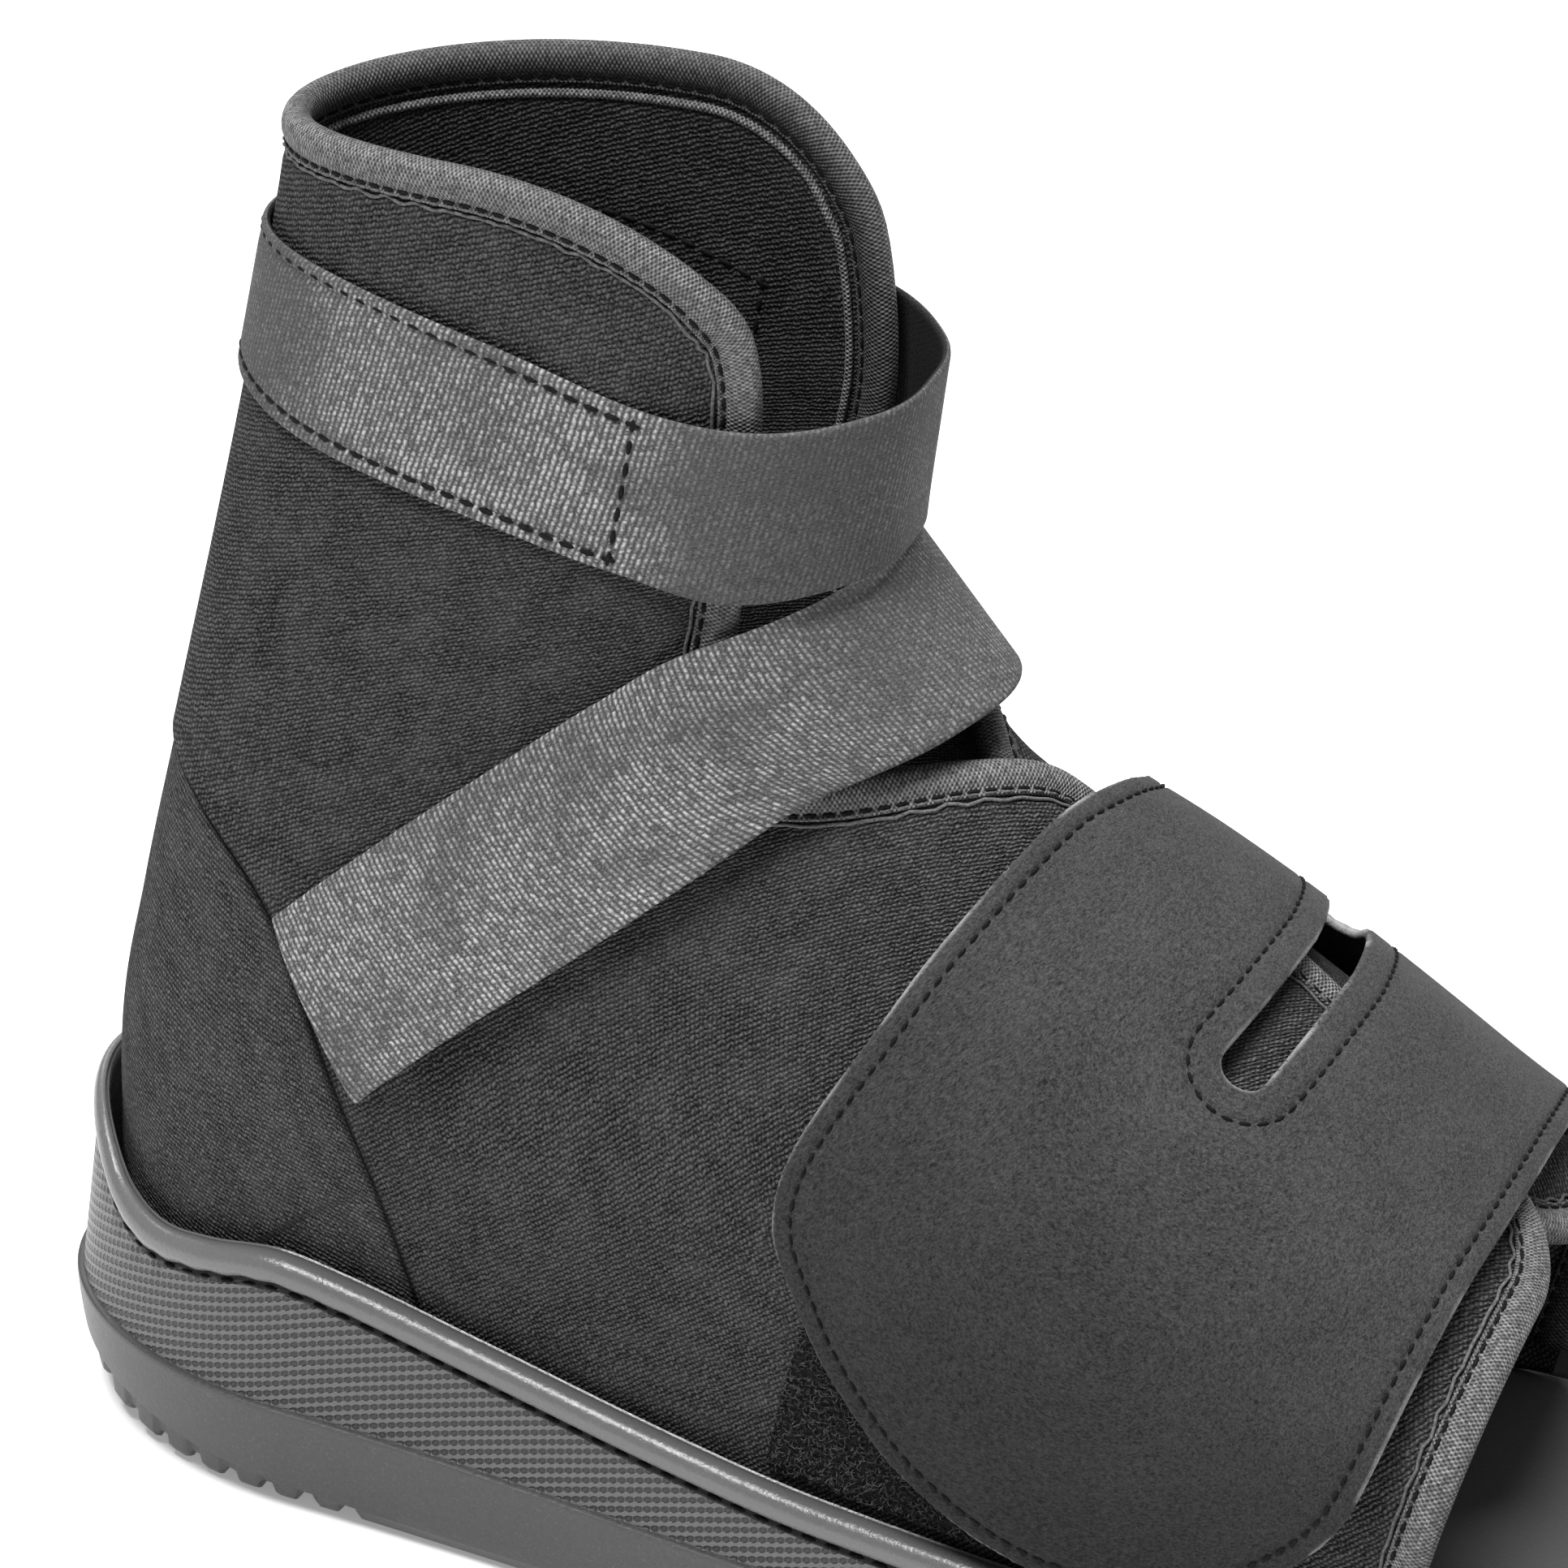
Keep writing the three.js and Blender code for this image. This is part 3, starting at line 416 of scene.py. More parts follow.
def grid_sheet(name, outer, inner, cloth, finish, slot, node, **more):
    """A closed sheet from matching grids of its two faces."""
    grids = [g.reshape(-1, 3) for g in (outer, inner, cloth)]
    layers = {key: rows.ravel() for key, rows in more.items()}
    return make_sheet(name, *grids, [grid_faces(*outer.shape[:2])], finish, slot, node, **layers)


def run_length(points, axis):
    """Distance travelled along one direction of a grid of points."""
    steps = np.linalg.norm(np.diff(points, axis=axis), axis=-1)
    start = np.zeros_like(np.take(steps, [0], axis=axis))
    return np.concatenate([start, np.cumsum(steps, axis=axis)], axis=axis)


def round_edge(distance, radius):
    """Share of a sheet's thickness at a distance from its cut edge."""
    near = np.clip(distance / radius, 0, 1)
    return np.sqrt(np.maximum(1 - (1 - near) ** 2, 0.0025))


def packed(*groups):
    return np.concatenate([np.asarray(g, float) for g in groups])


def half_area(piece):
    return sum(p.area for p in piece.data.polygons) / 2


print("helpers ready")

# %% [markdown]
# ## Finishes
# Every finish on this boot is grey. What tells them apart is structure: a knit, a coarse webbing, a
# ribbed tape, a brushed cloth, a pile and a moulded rubber. Each is worked out as a formula over
# the flat cloth, in millimetres. A small class stands for an output socket and turns sums of it
# into Math nodes, and one method adds any other node.

# %% Sums of sockets
class Signal:
    """An output socket that can stand in a sum."""

    def __init__(self, nodes, socket):
        self.nodes, self.socket = nodes, socket

    def math(self, operation, *values):
        return self.nodes.node("ShaderNodeMath", {"operation": operation}, values)

    def __add__(self, other):
        return self.math("ADD", self, other)

    def __sub__(self, other):
        return self.math("SUBTRACT", self, other)

    def __rsub__(self, other):
        return self.math("SUBTRACT", other, self)

    def __mul__(self, other):
        return self.math("MULTIPLY", self, other)

    def __truediv__(self, other):
        return self.math("DIVIDE", self, other)

    __radd__, __rmul__ = __add__, __mul__

    def wave(self):
        """A cosine between 0 and 1 that repeats at each whole number."""
        return self.math("COSINE", self * (2 * math.pi)) * 0.5 + 0.5

    def floor(self):
        return self.math("FLOOR", self)

    def held(self):
        """Held between 0 and 1."""
        return self.math("MINIMUM", self.math("MAXIMUM", self, 0.0), 1.0)


class Nodes:
    """Adds nodes to one tree: a type, its settings, then the values or links of its sockets."""

    def __init__(self, tree):
        self.tree = tree
        tree.nodes.clear()

    def node(self, kind, settings=None, sockets=(), out=0):
        made = self.tree.nodes.new(kind)
        for key, value in (settings or {}).items():
            if key == "stops":
                for k, (place, grey) in enumerate(value):
                    stop = made.color_ramp.elements[k] if k < 2 else made.color_ramp.elements.new(place)
                    stop.position, stop.color = place, (grey, grey, grey, 1.0)
            else:
                setattr(made, key, value)
        pairs = sockets.items() if isinstance(sockets, dict) else enumerate(sockets)
        for key, value in pairs:
            if isinstance(value, Signal):
                self.tree.links.new(value.socket, made.inputs[key])
            else:
                made.inputs[key].default_value = value
        return Signal(self, made.outputs[out] if made.outputs else None)


class Finish(Nodes):
    """A material, with the places and noises that the finishes share."""

    def __init__(self, name):
        self.material = bpy.data.materials.new(name)
        self.material.use_nodes = True
        super().__init__(self.material.node_tree)

    def attribute(self, name, out):
        return self.node("ShaderNodeAttribute", {"attribute_name": name}, (), out)

    def cloth(self):
        """The flat cloth: along, across and distance from the cut edge, all in millimetres."""
        place = self.attribute("cloth", "Vector")
        split = self.node("ShaderNodeSeparateXYZ", {}, (place,))
        outputs = split.socket.node.outputs
        return place, Signal(self, outputs[0]), Signal(self, outputs[1]), Signal(self, outputs[2])

    def body(self):
        """The object's own place, in millimetres."""
        place = self.node("ShaderNodeTexCoord", {}, (), "Object")
        return self.node("ShaderNodeVectorMath", {"operation": "SCALE"}, {0: place, "Scale": 1000.0})

    def noise(self, place, size, detail=2.0, rough=0.5):
        """Noise whose blotches are about size millimetres across."""
        sockets = {"Vector": place, "Scale": 1.0 / size, "Detail": detail, "Roughness": rough}
        return self.node("ShaderNodeTexNoise", {}, sockets)

    def lottery(self, u, v):
        """A random share for each whole-numbered cell of two counts."""
        cell = self.node("ShaderNodeCombineXYZ", {}, (u.floor(), v.floor()))
        return self.node("ShaderNodeTexWhiteNoise", {"noise_dimensions": "2D"}, {"Vector": cell})

    def lattice(self, u, v):
        """Bumps at whole numbers of u, moved by half a step in every other row of v."""
        return (u.wave() - 0.5) * ((v * 0.5).wave() - 0.5) * 2.0 + 0.5

    def grade(self, value, *stops):
        return self.node("ShaderNodeValToRGB", {"stops": stops}, (value,))

    def mixed(self, share, low, high):
        """One of two greys, or something between."""
        a, b = (v if isinstance(v, Signal) else (v, v, v, 1.0) for v in (low, high))
        return self.node("ShaderNodeMix", {"data_type": "RGBA"}, {"Factor": share, 6: a, 7: b}, 2)

    def surface(self, color, rough, height, depth, **constants):
        """The shader: depth is how deep the relief is, in millimetres."""
        bump = self.node("ShaderNodeBump", {}, {"Distance": depth * 0.001, "Height": height}, "Normal")
        sockets = {"Base Color": color, "Roughness": rough, "Normal": bump}
        sockets.update({key.replace("_", " "): value for key, value in constants.items()})
        shader = self.node("ShaderNodeBsdfPrincipled", {}, sockets, "BSDF")
        self.node("ShaderNodeOutputMaterial", {}, {"Surface": shader})
        print("finish", self.material.name, "with", len(self.tree.nodes), "nodes")
        return self.material


# %% [markdown]
# The floor comes first, because it is the simplest: nearly white, with a trace of cloud.

# %% Floor finish
paper = Finish("paper_floor")
cloud = paper.noise(paper.body(), 400.0)
floor_mesh.materials.append(paper.surface(paper.mixed(cloud, 0.82, 0.85), 0.9 + cloud * 0.05, cloud, 0.02,
                                          Emission_Color=(1.0, 1.0, 1.0, 1.0), Emission_Strength=0.25))

# %% [markdown]
# The upper is a knit over thin foam. Seen close, it is rows of short pale stitches over dark gaps,
# not quite a millimetre apart and never quite in line. The heel counter has its own copy of the
# knit, a shade paler, as painted light on its bulge. Along the counter's seam the knit is painted
# darker, as painted shade in the seam.

# %% Knit
def knit_finish(name, low, high):
    made = Finish(name)
    place, u, v, edge = made.cloth()
    drift = made.noise(place, 9.0, 3.0)
    fleck = made.noise(place, 0.42, 2.0, 0.7)
    wander = made.noise(place, 1.7, 2.0)
    row = v / 0.86 + (wander - 0.5) * 1.3
    stitch = u / 0.8 + row.floor() * 0.45 + (wander - 0.5) * 1.2
    chance = made.lottery(row, stitch)
    net = (row + 0.5).wave() * (0.25 + 0.75 * (stitch + 0.5).wave())
    shade = net * (0.6 + chance * 0.75) + (fleck - 0.5) * 1.3 + (drift - 0.5) * 0.4 + 0.1
    outside = made.attribute("face", "Fac")
    # painted shade: the knit darkens to about a tenth within about 1.7 mm of the counter's seam; the inner
    # face is a tenth darker
    seam = made.grade(edge / 4.0 + (fleck - 0.5) * 0.3, (0.04, 0.12), (0.42, 1.0))
    yarn = made.mixed(shade.held(), low, high)
    color = made.mixed(seam * (0.9 + outside * 0.1), 0.003, yarn)
    return made.surface(color, 0.95 - net * 0.1, net + fleck * 0.4, 0.4, Specular_IOR_Level=0.07)


knit = knit_finish("pitted_knit", 0.004, 0.125)
# painted light: a paler copy of the knit for the heel counter, where it bulges toward the lamps
painted_light_heel_knit = knit_finish("painted_light_heel_knit", 0.006, 0.15)

# %% [markdown]
# The straps are webbing. Bright ribs lie across each strap, a millimetre apart, and every rib is a
# line of short floats, shifted from one rib to the next. Each float draws a random share of a painted
# glint, and a painted highlight mask on each strap, broken into patches, sets how bright the glints
# are. The underside is dark.

# %% Webbing
def webbing_finish(name):
    made = Finish(name)
    place, u, v, _ = made.cloth()
    # painted highlight: a mask set on each strap says how brightly its floats glint; it also deepens the
    # relief
    shine = made.attribute("shine", "Fac")
    drift = made.noise(place, 14.0, 2.0)
    fleck = made.noise(place, 0.4, 2.0, 0.7)
    wander, sway = made.noise(place, 2.1, 2.0), made.noise(place, 1.3, 2.0)
    rib = u / 1.0 + v * 0.14 + drift * 0.5 + (wander - 0.5) * 0.5
    pick = v / 0.95 + rib.floor() * 0.37 + (sway - 0.5) * 1.6
    chance = made.lottery(rib, pick)
    shape = (rib + 0.5).wave() * (0.3 + 0.7 * (pick + 0.5).wave())
    glint = shape * (0.26 + chance * 0.9 + (fleck - 0.5) * 1.8)
    outside = made.attribute("face", "Fac")
    fibre = made.mixed(fleck, 0.003, 0.02)
    # painted highlight: the glint mask is broken into brighter and duller patches
    painted_highlight_patches = shine * made.grade(drift, (0.34, 0.6), (0.6, 1.35))
    woven = made.mixed((glint * painted_highlight_patches + fleck * 0.34 - 0.1).held(), 0.028, 0.5)
    color = made.mixed(outside, fibre, woven)
    return made.surface(color, 0.82 - glint * 0.3, shape * 0.8 * (0.25 + shine) + fleck * 0.4, 0.34,
                        Specular_IOR_Level=0.22)


webbing = webbing_finish("strap_webbing")

# %% [markdown]
# The tape that binds the edges is a fine weave: a lattice of small bumps, closer together than the
# ribs of the straps. The half that is folded to the inside is painted darker, as painted shade.

# %% Tape
def tape_finish(name, low, high):
    made = Finish(name)
    place, u, v, _ = made.cloth()
    drift = made.noise(place, 11.0, 2.0)
    fleck = made.noise(place, 0.35, 2.0, 0.6)
    rib, pick = u / 0.72 + drift * 0.4, v / 0.62 + drift * 0.3
    height = made.lattice(rib, pick)
    chance = made.lottery(rib + 0.5, pick + 0.5)
    shade = height * (0.4 + chance * 0.75) + (fleck - 0.5) * 0.9
    # painted shade: the inner half of the tape, across its width, is darkened to about half
    inside = made.grade(v / 16.0, (0.42, 1.0), (0.56, 0.45))
    color = made.mixed((shade * inside).held(), low, high)
    return made.surface(color, 0.78 - height * 0.2, height + fleck * 0.3, 0.3, Specular_IOR_Level=0.25)


tape = tape_finish("hem_tape", 0.02, 0.31)
selvage_tape = tape_finish("selvage_tape", 0.01, 0.4)

# %% [markdown]
# The flap is a brushed laminate, smooth to the eye, with a short nap. It has no weave, only fine
# specks and faint clouds. Along its cut edge the pale core of the cloth shows. Its outer face is
# painted darker towards the tongue on the right, as painted shade where the flap turns down.

# %% Brushed cloth
def brushed_finish(name):
    made = Finish(name)
    place, u, _, edge = made.cloth()
    cloud = made.noise(place, 16.0, 4.0)
    nap = made.noise(place, 0.55, 3.0, 0.75)
    speck = made.noise(place, 0.3, 1.0, 0.5)
    mottle = made.noise(place, 1.1, 2.0, 0.6)
    tone = cloud * 0.4 + nap * 1.7 + mottle * 0.9 - 1.0
    bright = made.grade(speck, (0.62, 0.0), (0.74, 1.0))
    dark = made.grade(speck, (0.26, 1.0), (0.38, 0.0))
    cloth = made.mixed(tone.held(), 0.012, 0.078)
    flecked = made.mixed(dark * 0.55, made.mixed(bright * 0.5, cloth, 0.13), 0.006)
    # painted shade: a ramp along the flap darkens its tongue end to about 0.4
    painted_shading = made.grade((u - 63.0) / 95.0, (0.0, 0.42), (1.0, 1.06))
    painted_shade_cloth = made.mixed(painted_shading, 0.004, flecked)
    patchy = made.grade(cloud + (nap - 0.5) * 0.5, (0.46, 0.05), (0.58, 1.0))
    raw = made.grade(edge + (nap - 0.5) * 1.6, (0.1, 1.0), (0.7, 0.0))
    outside = made.attribute("face", "Fac")
    color = made.mixed(raw * patchy * 0.8, made.mixed(outside, 0.008, painted_shade_cloth), 0.34)
    return made.surface(color, 0.92 - nap * 0.1, nap + speck * 0.5, 0.14, Sheen_Weight=0.05,
                        Sheen_Roughness=0.45, Specular_IOR_Level=0.1)


brushed = brushed_finish("napped_cloth")

# %% [markdown]
# The landing patch is a loop pile: nearly black, and rough enough that single loops catch the light.

# %% Pile and thread
def plain_finish(name, size, low, high, rough, depth, **constants):
    made = Finish(name)
    place = made.body()
    grain = made.noise(place, size, 3.0, 0.6)
    return made.surface(made.mixed(made.grade(grain, (0.3, 0.0), (0.7, 1.0)), low, high),
                        rough - grain * 0.1, grain, depth, **constants)


pile = plain_finish("pile_loops", 1.1, 0.002, 0.12, 0.85, 0.1, Specular_IOR_Level=0.15)
pile_back = plain_finish("pile_back", 0.6, 0.003, 0.02, 1.0, 0.2, Specular_IOR_Level=0.03)
thread = plain_finish("thread", 0.4, 0.003, 0.014, 0.8, 0.1, Specular_IOR_Level=0.1)
pale_thread = plain_finish("pale_thread", 0.5, 0.05, 0.17, 0.8, 0.1, Specular_IOR_Level=0.2)

# %% [markdown]
# The sole is moulded rubber with a satin skin. Dust has settled in its pores, so both colour and
# gloss vary a little. Its bead is painted lighter, as a painted highlight along its top, and the
# textured band is lighter too. The dimples of the band are painted nearly black, as painted shade.

# %% Rubber and insole
def rubber_finish(name, low, high, rough):
    made = Finish(name)
    place = made.body()
    cloud = made.noise(place, 18.0, 4.0, 0.6)
    pore = made.noise(place, 0.8, 3.0, 0.7)
    speck = made.noise(place, 0.45, 1.0)
    _, run, climb, bead = made.cloth()
    band = made.attribute("band", "Fac")
    dust = made.grade(speck, (0.62, 0.0), (0.74, 1.0))
    tone = (cloud * 0.5 + pore * 0.9 - 0.2).held()
    bare = made.mixed(dust * 0.4, made.mixed(tone, low, high), high * 1.7)
    dimple = (climb / 1.75).wave() * (0.35 + 0.65 * (run / 1.57).wave())
    pit = made.grade(dimple, (0.2, 0.0), (0.55, 1.0)) * band
    # painted highlight: the bead is painted lighter, and the band a little lighter too
    painted_shading = made.mixed(bead * 0.6 + band * 0.4, bare, high * 2.6)
    # painted shade: the dimples of the band are painted nearly black
    color = made.mixed(pit * 0.9, painted_shading, 0.005)
    gloss = rough + (cloud - 0.5) * 0.16 + (pore - 0.5) * 0.2 - bead * 0.16
    return made.surface(color, gloss, (pore + cloud * 0.4) * 0.25 - pit, 0.4, Specular_IOR_Level=0.5)


rubber = rubber_finish("moulded_rubber", 0.025, 0.072, 0.42)


def insole_finish(name):
    made = Finish(name)
    place = made.body()
    weave = made.noise(place, 0.7, 3.0, 0.7)
    press = made.noise(place, 30.0, 2.0)
    color = made.mixed((weave * 0.6 + press * 0.5 - 0.05).held(), 0.05, 0.12)
    return made.surface(color, 0.85 - press * 0.1, weave, 0.12, Sheen_Weight=0.1)


insole_cloth = insole_finish("insole_cloth")

# %% [markdown]
# ## The sole
# The outsole is one moulding. A smooth lower side stands on a rockered tread with cross grooves, a
# textured band lies above it, and a round bead runs along the top, high at the heel. It could be
# modelled as a box and bevelled, but its side is the same section all the way round with heights
# that change, so rings that follow the outline are simpler and stay true to the solid.

# %% Rings of the outsole
def sole_outline(inset, heel, side, toe):
    """Points along one side of the sole, from the middle of the heel to the middle of the toe."""
    parts = np.split(np.broadcast_to(inset, len(heel) + len(side) + len(toe)),
                     [len(heel), len(heel) + len(side)])
    power = 2 / TOE_SQUARENESS
    x = packed(HEEL_LENGTH - (HEEL_LENGTH - parts[0]) * np.cos(heel), side,
               BALL_X + (SOLE_LENGTH - BALL_X - parts[2]) * np.sin(toe) ** power)
    y = packed((HEEL_HALF - parts[0]) * np.sin(heel), sole_half(side, parts[1]),
               (BALL_HALF - parts[2]) * np.maximum(np.cos(toe), 0) ** power)
    return x, y


HEEL_ANGLES = np.radians(np.linspace(0, 90, 91))
SIDE_PLACES = np.arange(HEEL_LENGTH + 0.75, BALL_X, 0.75)
TOE_ANGLES = np.radians(np.linspace(0, 90, 100))
STATIONS = HEEL_ANGLES, SIDE_PLACES, TOE_ANGLES
station_x, station_y = sole_outline(0.0, *STATIONS)
print("stations along one side of the sole:", len(station_x))

# %% Heights along the sole
GROOVES = packed(10 + 7.5 * np.arange(8), 190 + 8.5 * np.arange(12))


def tread_height(x):
    heel = np.maximum((40 - x) / 40, 0)
    toe = np.maximum((x - 225) / 75, 0)
    return 4 * heel ** 2 + 13 * toe ** 2


def groove_depth(x):
    away = np.abs(np.asarray(x)[..., None] - GROOVES).min(-1)
    return 2.4 * (1 - smooth(away, 0.9, 2.0))


def smooth_top(x):
    return blend(19.9, 16.6, smooth(x, 0, 130))


def rim_lean(inset, x):
    lean = 2.6 * (1 - smooth(x, 0, 40))
    return blend(inset, SOLE_WALL, lean / SOLE_WALL)


def scallop(x, y):
    """The bead's lower edge is drawn in by the stitches at the heel."""
    run = run_length(np.stack([x, y], 1), 0)
    return 0.45 * (0.5 + 0.5 * np.cos(run * 2 * math.pi / 6.4)) * (1 - smooth(x, 40, 75))


def tread_ledge(x):
    """Where the lugs under the heel step back from the smooth side, and by how much."""
    return tread_height(x) + 2.9 + 5.0 * (1 - smooth(x, 4, 78)), 1.2 * (1 - smooth(x, 36, 84))


def outsole_rings():
    x = station_x
    ground, groove = tread_height(x), groove_depth(x)
    top, rim, wavy = smooth_top(x), read(RIM, x, "z"), scallop(station_x, station_y)
    ledge, lugs = tread_ledge(x)
    rings = [(3.6 + lugs, ground + groove),
             (2.6 + lugs + 0.2 * groove, ground + 0.5 + 0.8 * groove),
             (2.0 + lugs + 0.2 * groove, ground + 1.3 + 0.5 * groove),
             (1.5 + lugs + 0.1 * groove, ledge - 0.5),
             (1.3 + lugs, ledge - 0.25), (1.2 + 0.5 * lugs, ledge), (1.1, ledge + 0.2),
             (0.8, blend(ledge, top, 0.2)), (0.35, blend(ledge, top, 0.55)),
             (0.05, top - 1.0), (0.0, top - 0.5), (0.12, top - 0.12), (0.5, top + 0.1), (1.0, top + 0.15),
             (1.15, top + 0.5)]
    for share in (0.25, 0.5, 0.75, 1.0):
        rings.append((blend(1.15, rim_lean(1.7, x), share), blend(top + 0.5, rim - 6.6, share)))
    rings += [(rim_lean(2.3, x), rim - 6.4 + wavy), (rim_lean(2.9, x), rim - 5.9 + wavy)]
    for angle in np.radians(np.linspace(-72, 112, 17)):
        pull = wavy * np.clip(-math.sin(angle), 0, 1)
        rings.append((rim_lean(3.05 - 2.65 * math.cos(angle), x), rim - 2.85 + 2.7 * math.sin(angle) + pull))
    lip = (4.35, -1.5), (4.6, -1.45), (4.8, -0.6), (5.1, -0.4), (5.4, -0.7)
    rings += [(rim_lean(inset, x), rim + z) for inset, z in lip]
    return rings + [(SOLE_WALL, rim - 2.6), (SOLE_WALL, np.full_like(x, CUP_FLOOR))]


def ring_points(inset, z):
    x, y = sole_outline(inset, *STATIONS)
    right_side = np.stack([x, -y, np.broadcast_to(z, x.shape)], 1)
    return np.concatenate([right_side, right_side[-2:0:-1] * MIRROR])


rings = [ring_points(i, z) for i, z in outsole_rings()]
print("rings of the outsole:", len(rings))

# %% Outsole
def tube_faces(count, size):
    """Faces between rings of one size."""
    start = np.arange(count - 1)[:, None] * size
    near, far = np.arange(size), (np.arange(size) + 1) % size
    corners = start + near, start + far, start + far + size, start + near + size
    return np.stack(corners, -1).reshape(-1, 4)


def cross_faces(size, last, base, flip):
    """A flat cap of strips across a symmetric ring, with a triangle at each end."""
    k = np.arange(1, last - 1)
    strips = np.stack([base + k, base + size - k, base + size - k - 1, base + k + 1], 1)
    ends = np.array([[base, base + size - 1, base + 1], [base + last - 1, base + last + 1, base + last]])
    return [f if flip else f[:, ::-1] for f in (strips, ends)]


ring_size, ring_last = len(rings[0]), len(station_x) - 1
outsole_points = np.concatenate(rings)
outsole_faces = [tube_faces(len(rings), ring_size),
                 *cross_faces(ring_size, ring_last, 0, True),
                 *cross_faces(ring_size, ring_last, len(outsole_points) - ring_size, False)]
side_run = run_length(np.stack([station_x, station_y], 1), 0)
ring_run = np.tile(np.append(side_run, side_run[-2:0:-1]), len(rings))
row = np.repeat(np.arange(len(rings)), ring_size)
sole_layers = {
    "cloth": np.stack([ring_run, outsole_points[:, 2] - 0.33 * ring_run, (row > 20) * 1.0], 1),
    "band": ((row >= 14) & (row <= 18)) * 1.0,
}
make_piece("rubber_sole", outsole_points, outsole_faces, rubber, sole_layers, "outsole",
           sharp=38)

# %% [markdown]
# The insole is a thin foam pad with a cloth top. It lies on the floor of the cup and is rounded off
# along its border, so it is a crowned closed form over rows across the sole.

# %% Insole
def insole_piece():
    inset, low, high = 5.9, 18.4, 24.4
    x = np.sort(packed(np.linspace(6.0, 294.0, 150), [6.4, 7.2, 8.5, 291.5, 292.8, 293.6]))
    across = np.sin(np.linspace(-math.pi / 2, math.pi / 2, 33))
    half = np.maximum(sole_half(x, inset), 0.6)
    y = across * half[:, None]
    edge = np.minimum(half[:, None] * (1 - np.abs(across)), np.minimum(x - 5.9, 294.1 - x)[:, None])
    top = high - 1.6 + 1.6 * round_edge(edge, 7.0)
    plan = np.broadcast_to(x[:, None], y.shape)
    outer = np.stack([plan, y, top], -1).reshape(-1, 3)
    inner = np.stack([plan, y, np.full_like(y, low)], -1).reshape(-1, 3)
    faces = close_sheet(len(outer), [grid_faces(*y.shape)])
    return make_piece("padded_insole", np.concatenate([outer, inner]), faces, insole_cloth,
                      node="insole")


insole = insole_piece()

# %% [markdown]
# ## Growing what repeats
# Stitches, laid threads and pile loops repeat a small shape along a path or over a surface.
# Geometry Nodes do this well: one tree takes points or a path, sets the shape on each, and has its
# sizes as named inputs. The result is turned into a plain mesh, so that nothing stays live.

# %% Trees
def new_tree(name, inputs):
    tree = bpy.data.node_groups.new(name, "GeometryNodeTree")
    tree.interface.new_socket("Geometry", in_out="INPUT", socket_type="NodeSocketGeometry")
    for label, kind in inputs:
        tree.interface.new_socket(label, in_out="INPUT", socket_type="NodeSocket" + kind)
    tree.interface.new_socket("Geometry", in_out="OUTPUT", socket_type="NodeSocketGeometry")
    made = Nodes(tree)
    entry = made.node("NodeGroupInput").socket.node
    return tree, made, {s.name: Signal(made, s) for s in entry.outputs if s.name}


def finish_tree(made, geometry, material):
    real = made.node("GeometryNodeRealizeInstances", {}, {"Geometry": geometry})
    shown = made.node("GeometryNodeSetMaterial", {}, {"Geometry": real, "Material": material})
    made.node("NodeGroupOutput", {}, (shown,))


def grow(name, points, attributes, tree, values, slot, edges=(), faces=()):
    """Runs a tree on points, paths or a surface, in millimetres, and keeps it as a plain mesh."""
    seed_mesh = bpy.data.meshes.new(name + "_seed")
    seed_mesh.from_pydata(((points - ORIGIN) * 0.001).tolist(), list(edges), list(faces))
    for key, rows in attributes.items():
        layer = seed_mesh.attributes.new(key, "FLOAT_VECTOR", "POINT")
        layer.data.foreach_set("vector", rows.astype(np.float32).ravel())
    seed = bpy.data.objects.new(name + "_seed", seed_mesh)
    bpy.context.collection.objects.link(seed)
    work = seed.modifiers.new("grow", "NODES")
    work.node_group = tree
    for item in tree.interface.items_tree:
        if item.in_out == "INPUT" and item.name in values:
            work[item.identifier] = values[item.name]
    graph = bpy.context.evaluated_depsgraph_get()
    mesh = bpy.data.meshes.new_from_object(seed.evaluated_get(graph), depsgraph=graph)
    bpy.data.objects.remove(seed)
    mesh.name = name
    if not mesh.materials:
        mesh.materials.append(values["Material"])
    return place_piece(bpy.data.objects.new(name, mesh))


# %% Tree for stitches
def stitch_tree():
    """Sets one rounded stitch at each step of a path, in line with it and standing on `up`."""
    tree, made, put = new_tree("stitch_line", [
        *[(label, "Float") for label in ("Pitch", "Length", "Width", "Height")], ("Material", "Material")])
    path = made.node("GeometryNodeMeshToCurve", {}, {"Mesh": put["Geometry"]})
    steps = made.node("GeometryNodeResampleCurve", {"mode": "LENGTH"}, {
        "Curve": path, "Length": put["Pitch"]})
    ball = made.node("GeometryNodeMeshUVSphere", {}, {"Segments": 8, "Rings": 5, "Radius": 0.5})
    size = made.node("ShaderNodeCombineXYZ", {}, (put["Length"], put["Width"], put["Height"]))
    stitch = made.node("GeometryNodeTransform", {}, {"Geometry": ball, "Scale": size})
    up = made.node("GeometryNodeInputNamedAttribute", {"data_type": "FLOAT_VECTOR"}, {"Name": "up"})
    along = made.node("GeometryNodeInputTangent")
    turn = made.node("FunctionNodeAxesToRotation", {"primary_axis": "X", "secondary_axis": "Z"}, (along, up))
    rows = made.node("GeometryNodeInstanceOnPoints", {}, {
        "Points": steps, "Instance": stitch, "Rotation": turn})
    finish_tree(made, rows, put["Material"])
    return tree


def cord_tree():
    """Draws a thin round thread along a path."""
    tree, made, put = new_tree("laid_thread", [("Width", "Float"), ("Material", "Material")])
    path = made.node("GeometryNodeMeshToCurve", {}, {"Mesh": put["Geometry"]})
    ring = made.node("GeometryNodeCurvePrimitiveCircle", {}, {"Resolution": 6, "Radius": put["Width"] * 0.5})
    tube = made.node("GeometryNodeCurveToMesh", {}, {"Curve": path, "Profile Curve": ring, "Fill Caps": True})
    finish_tree(made, tube, put["Material"])
    return tree


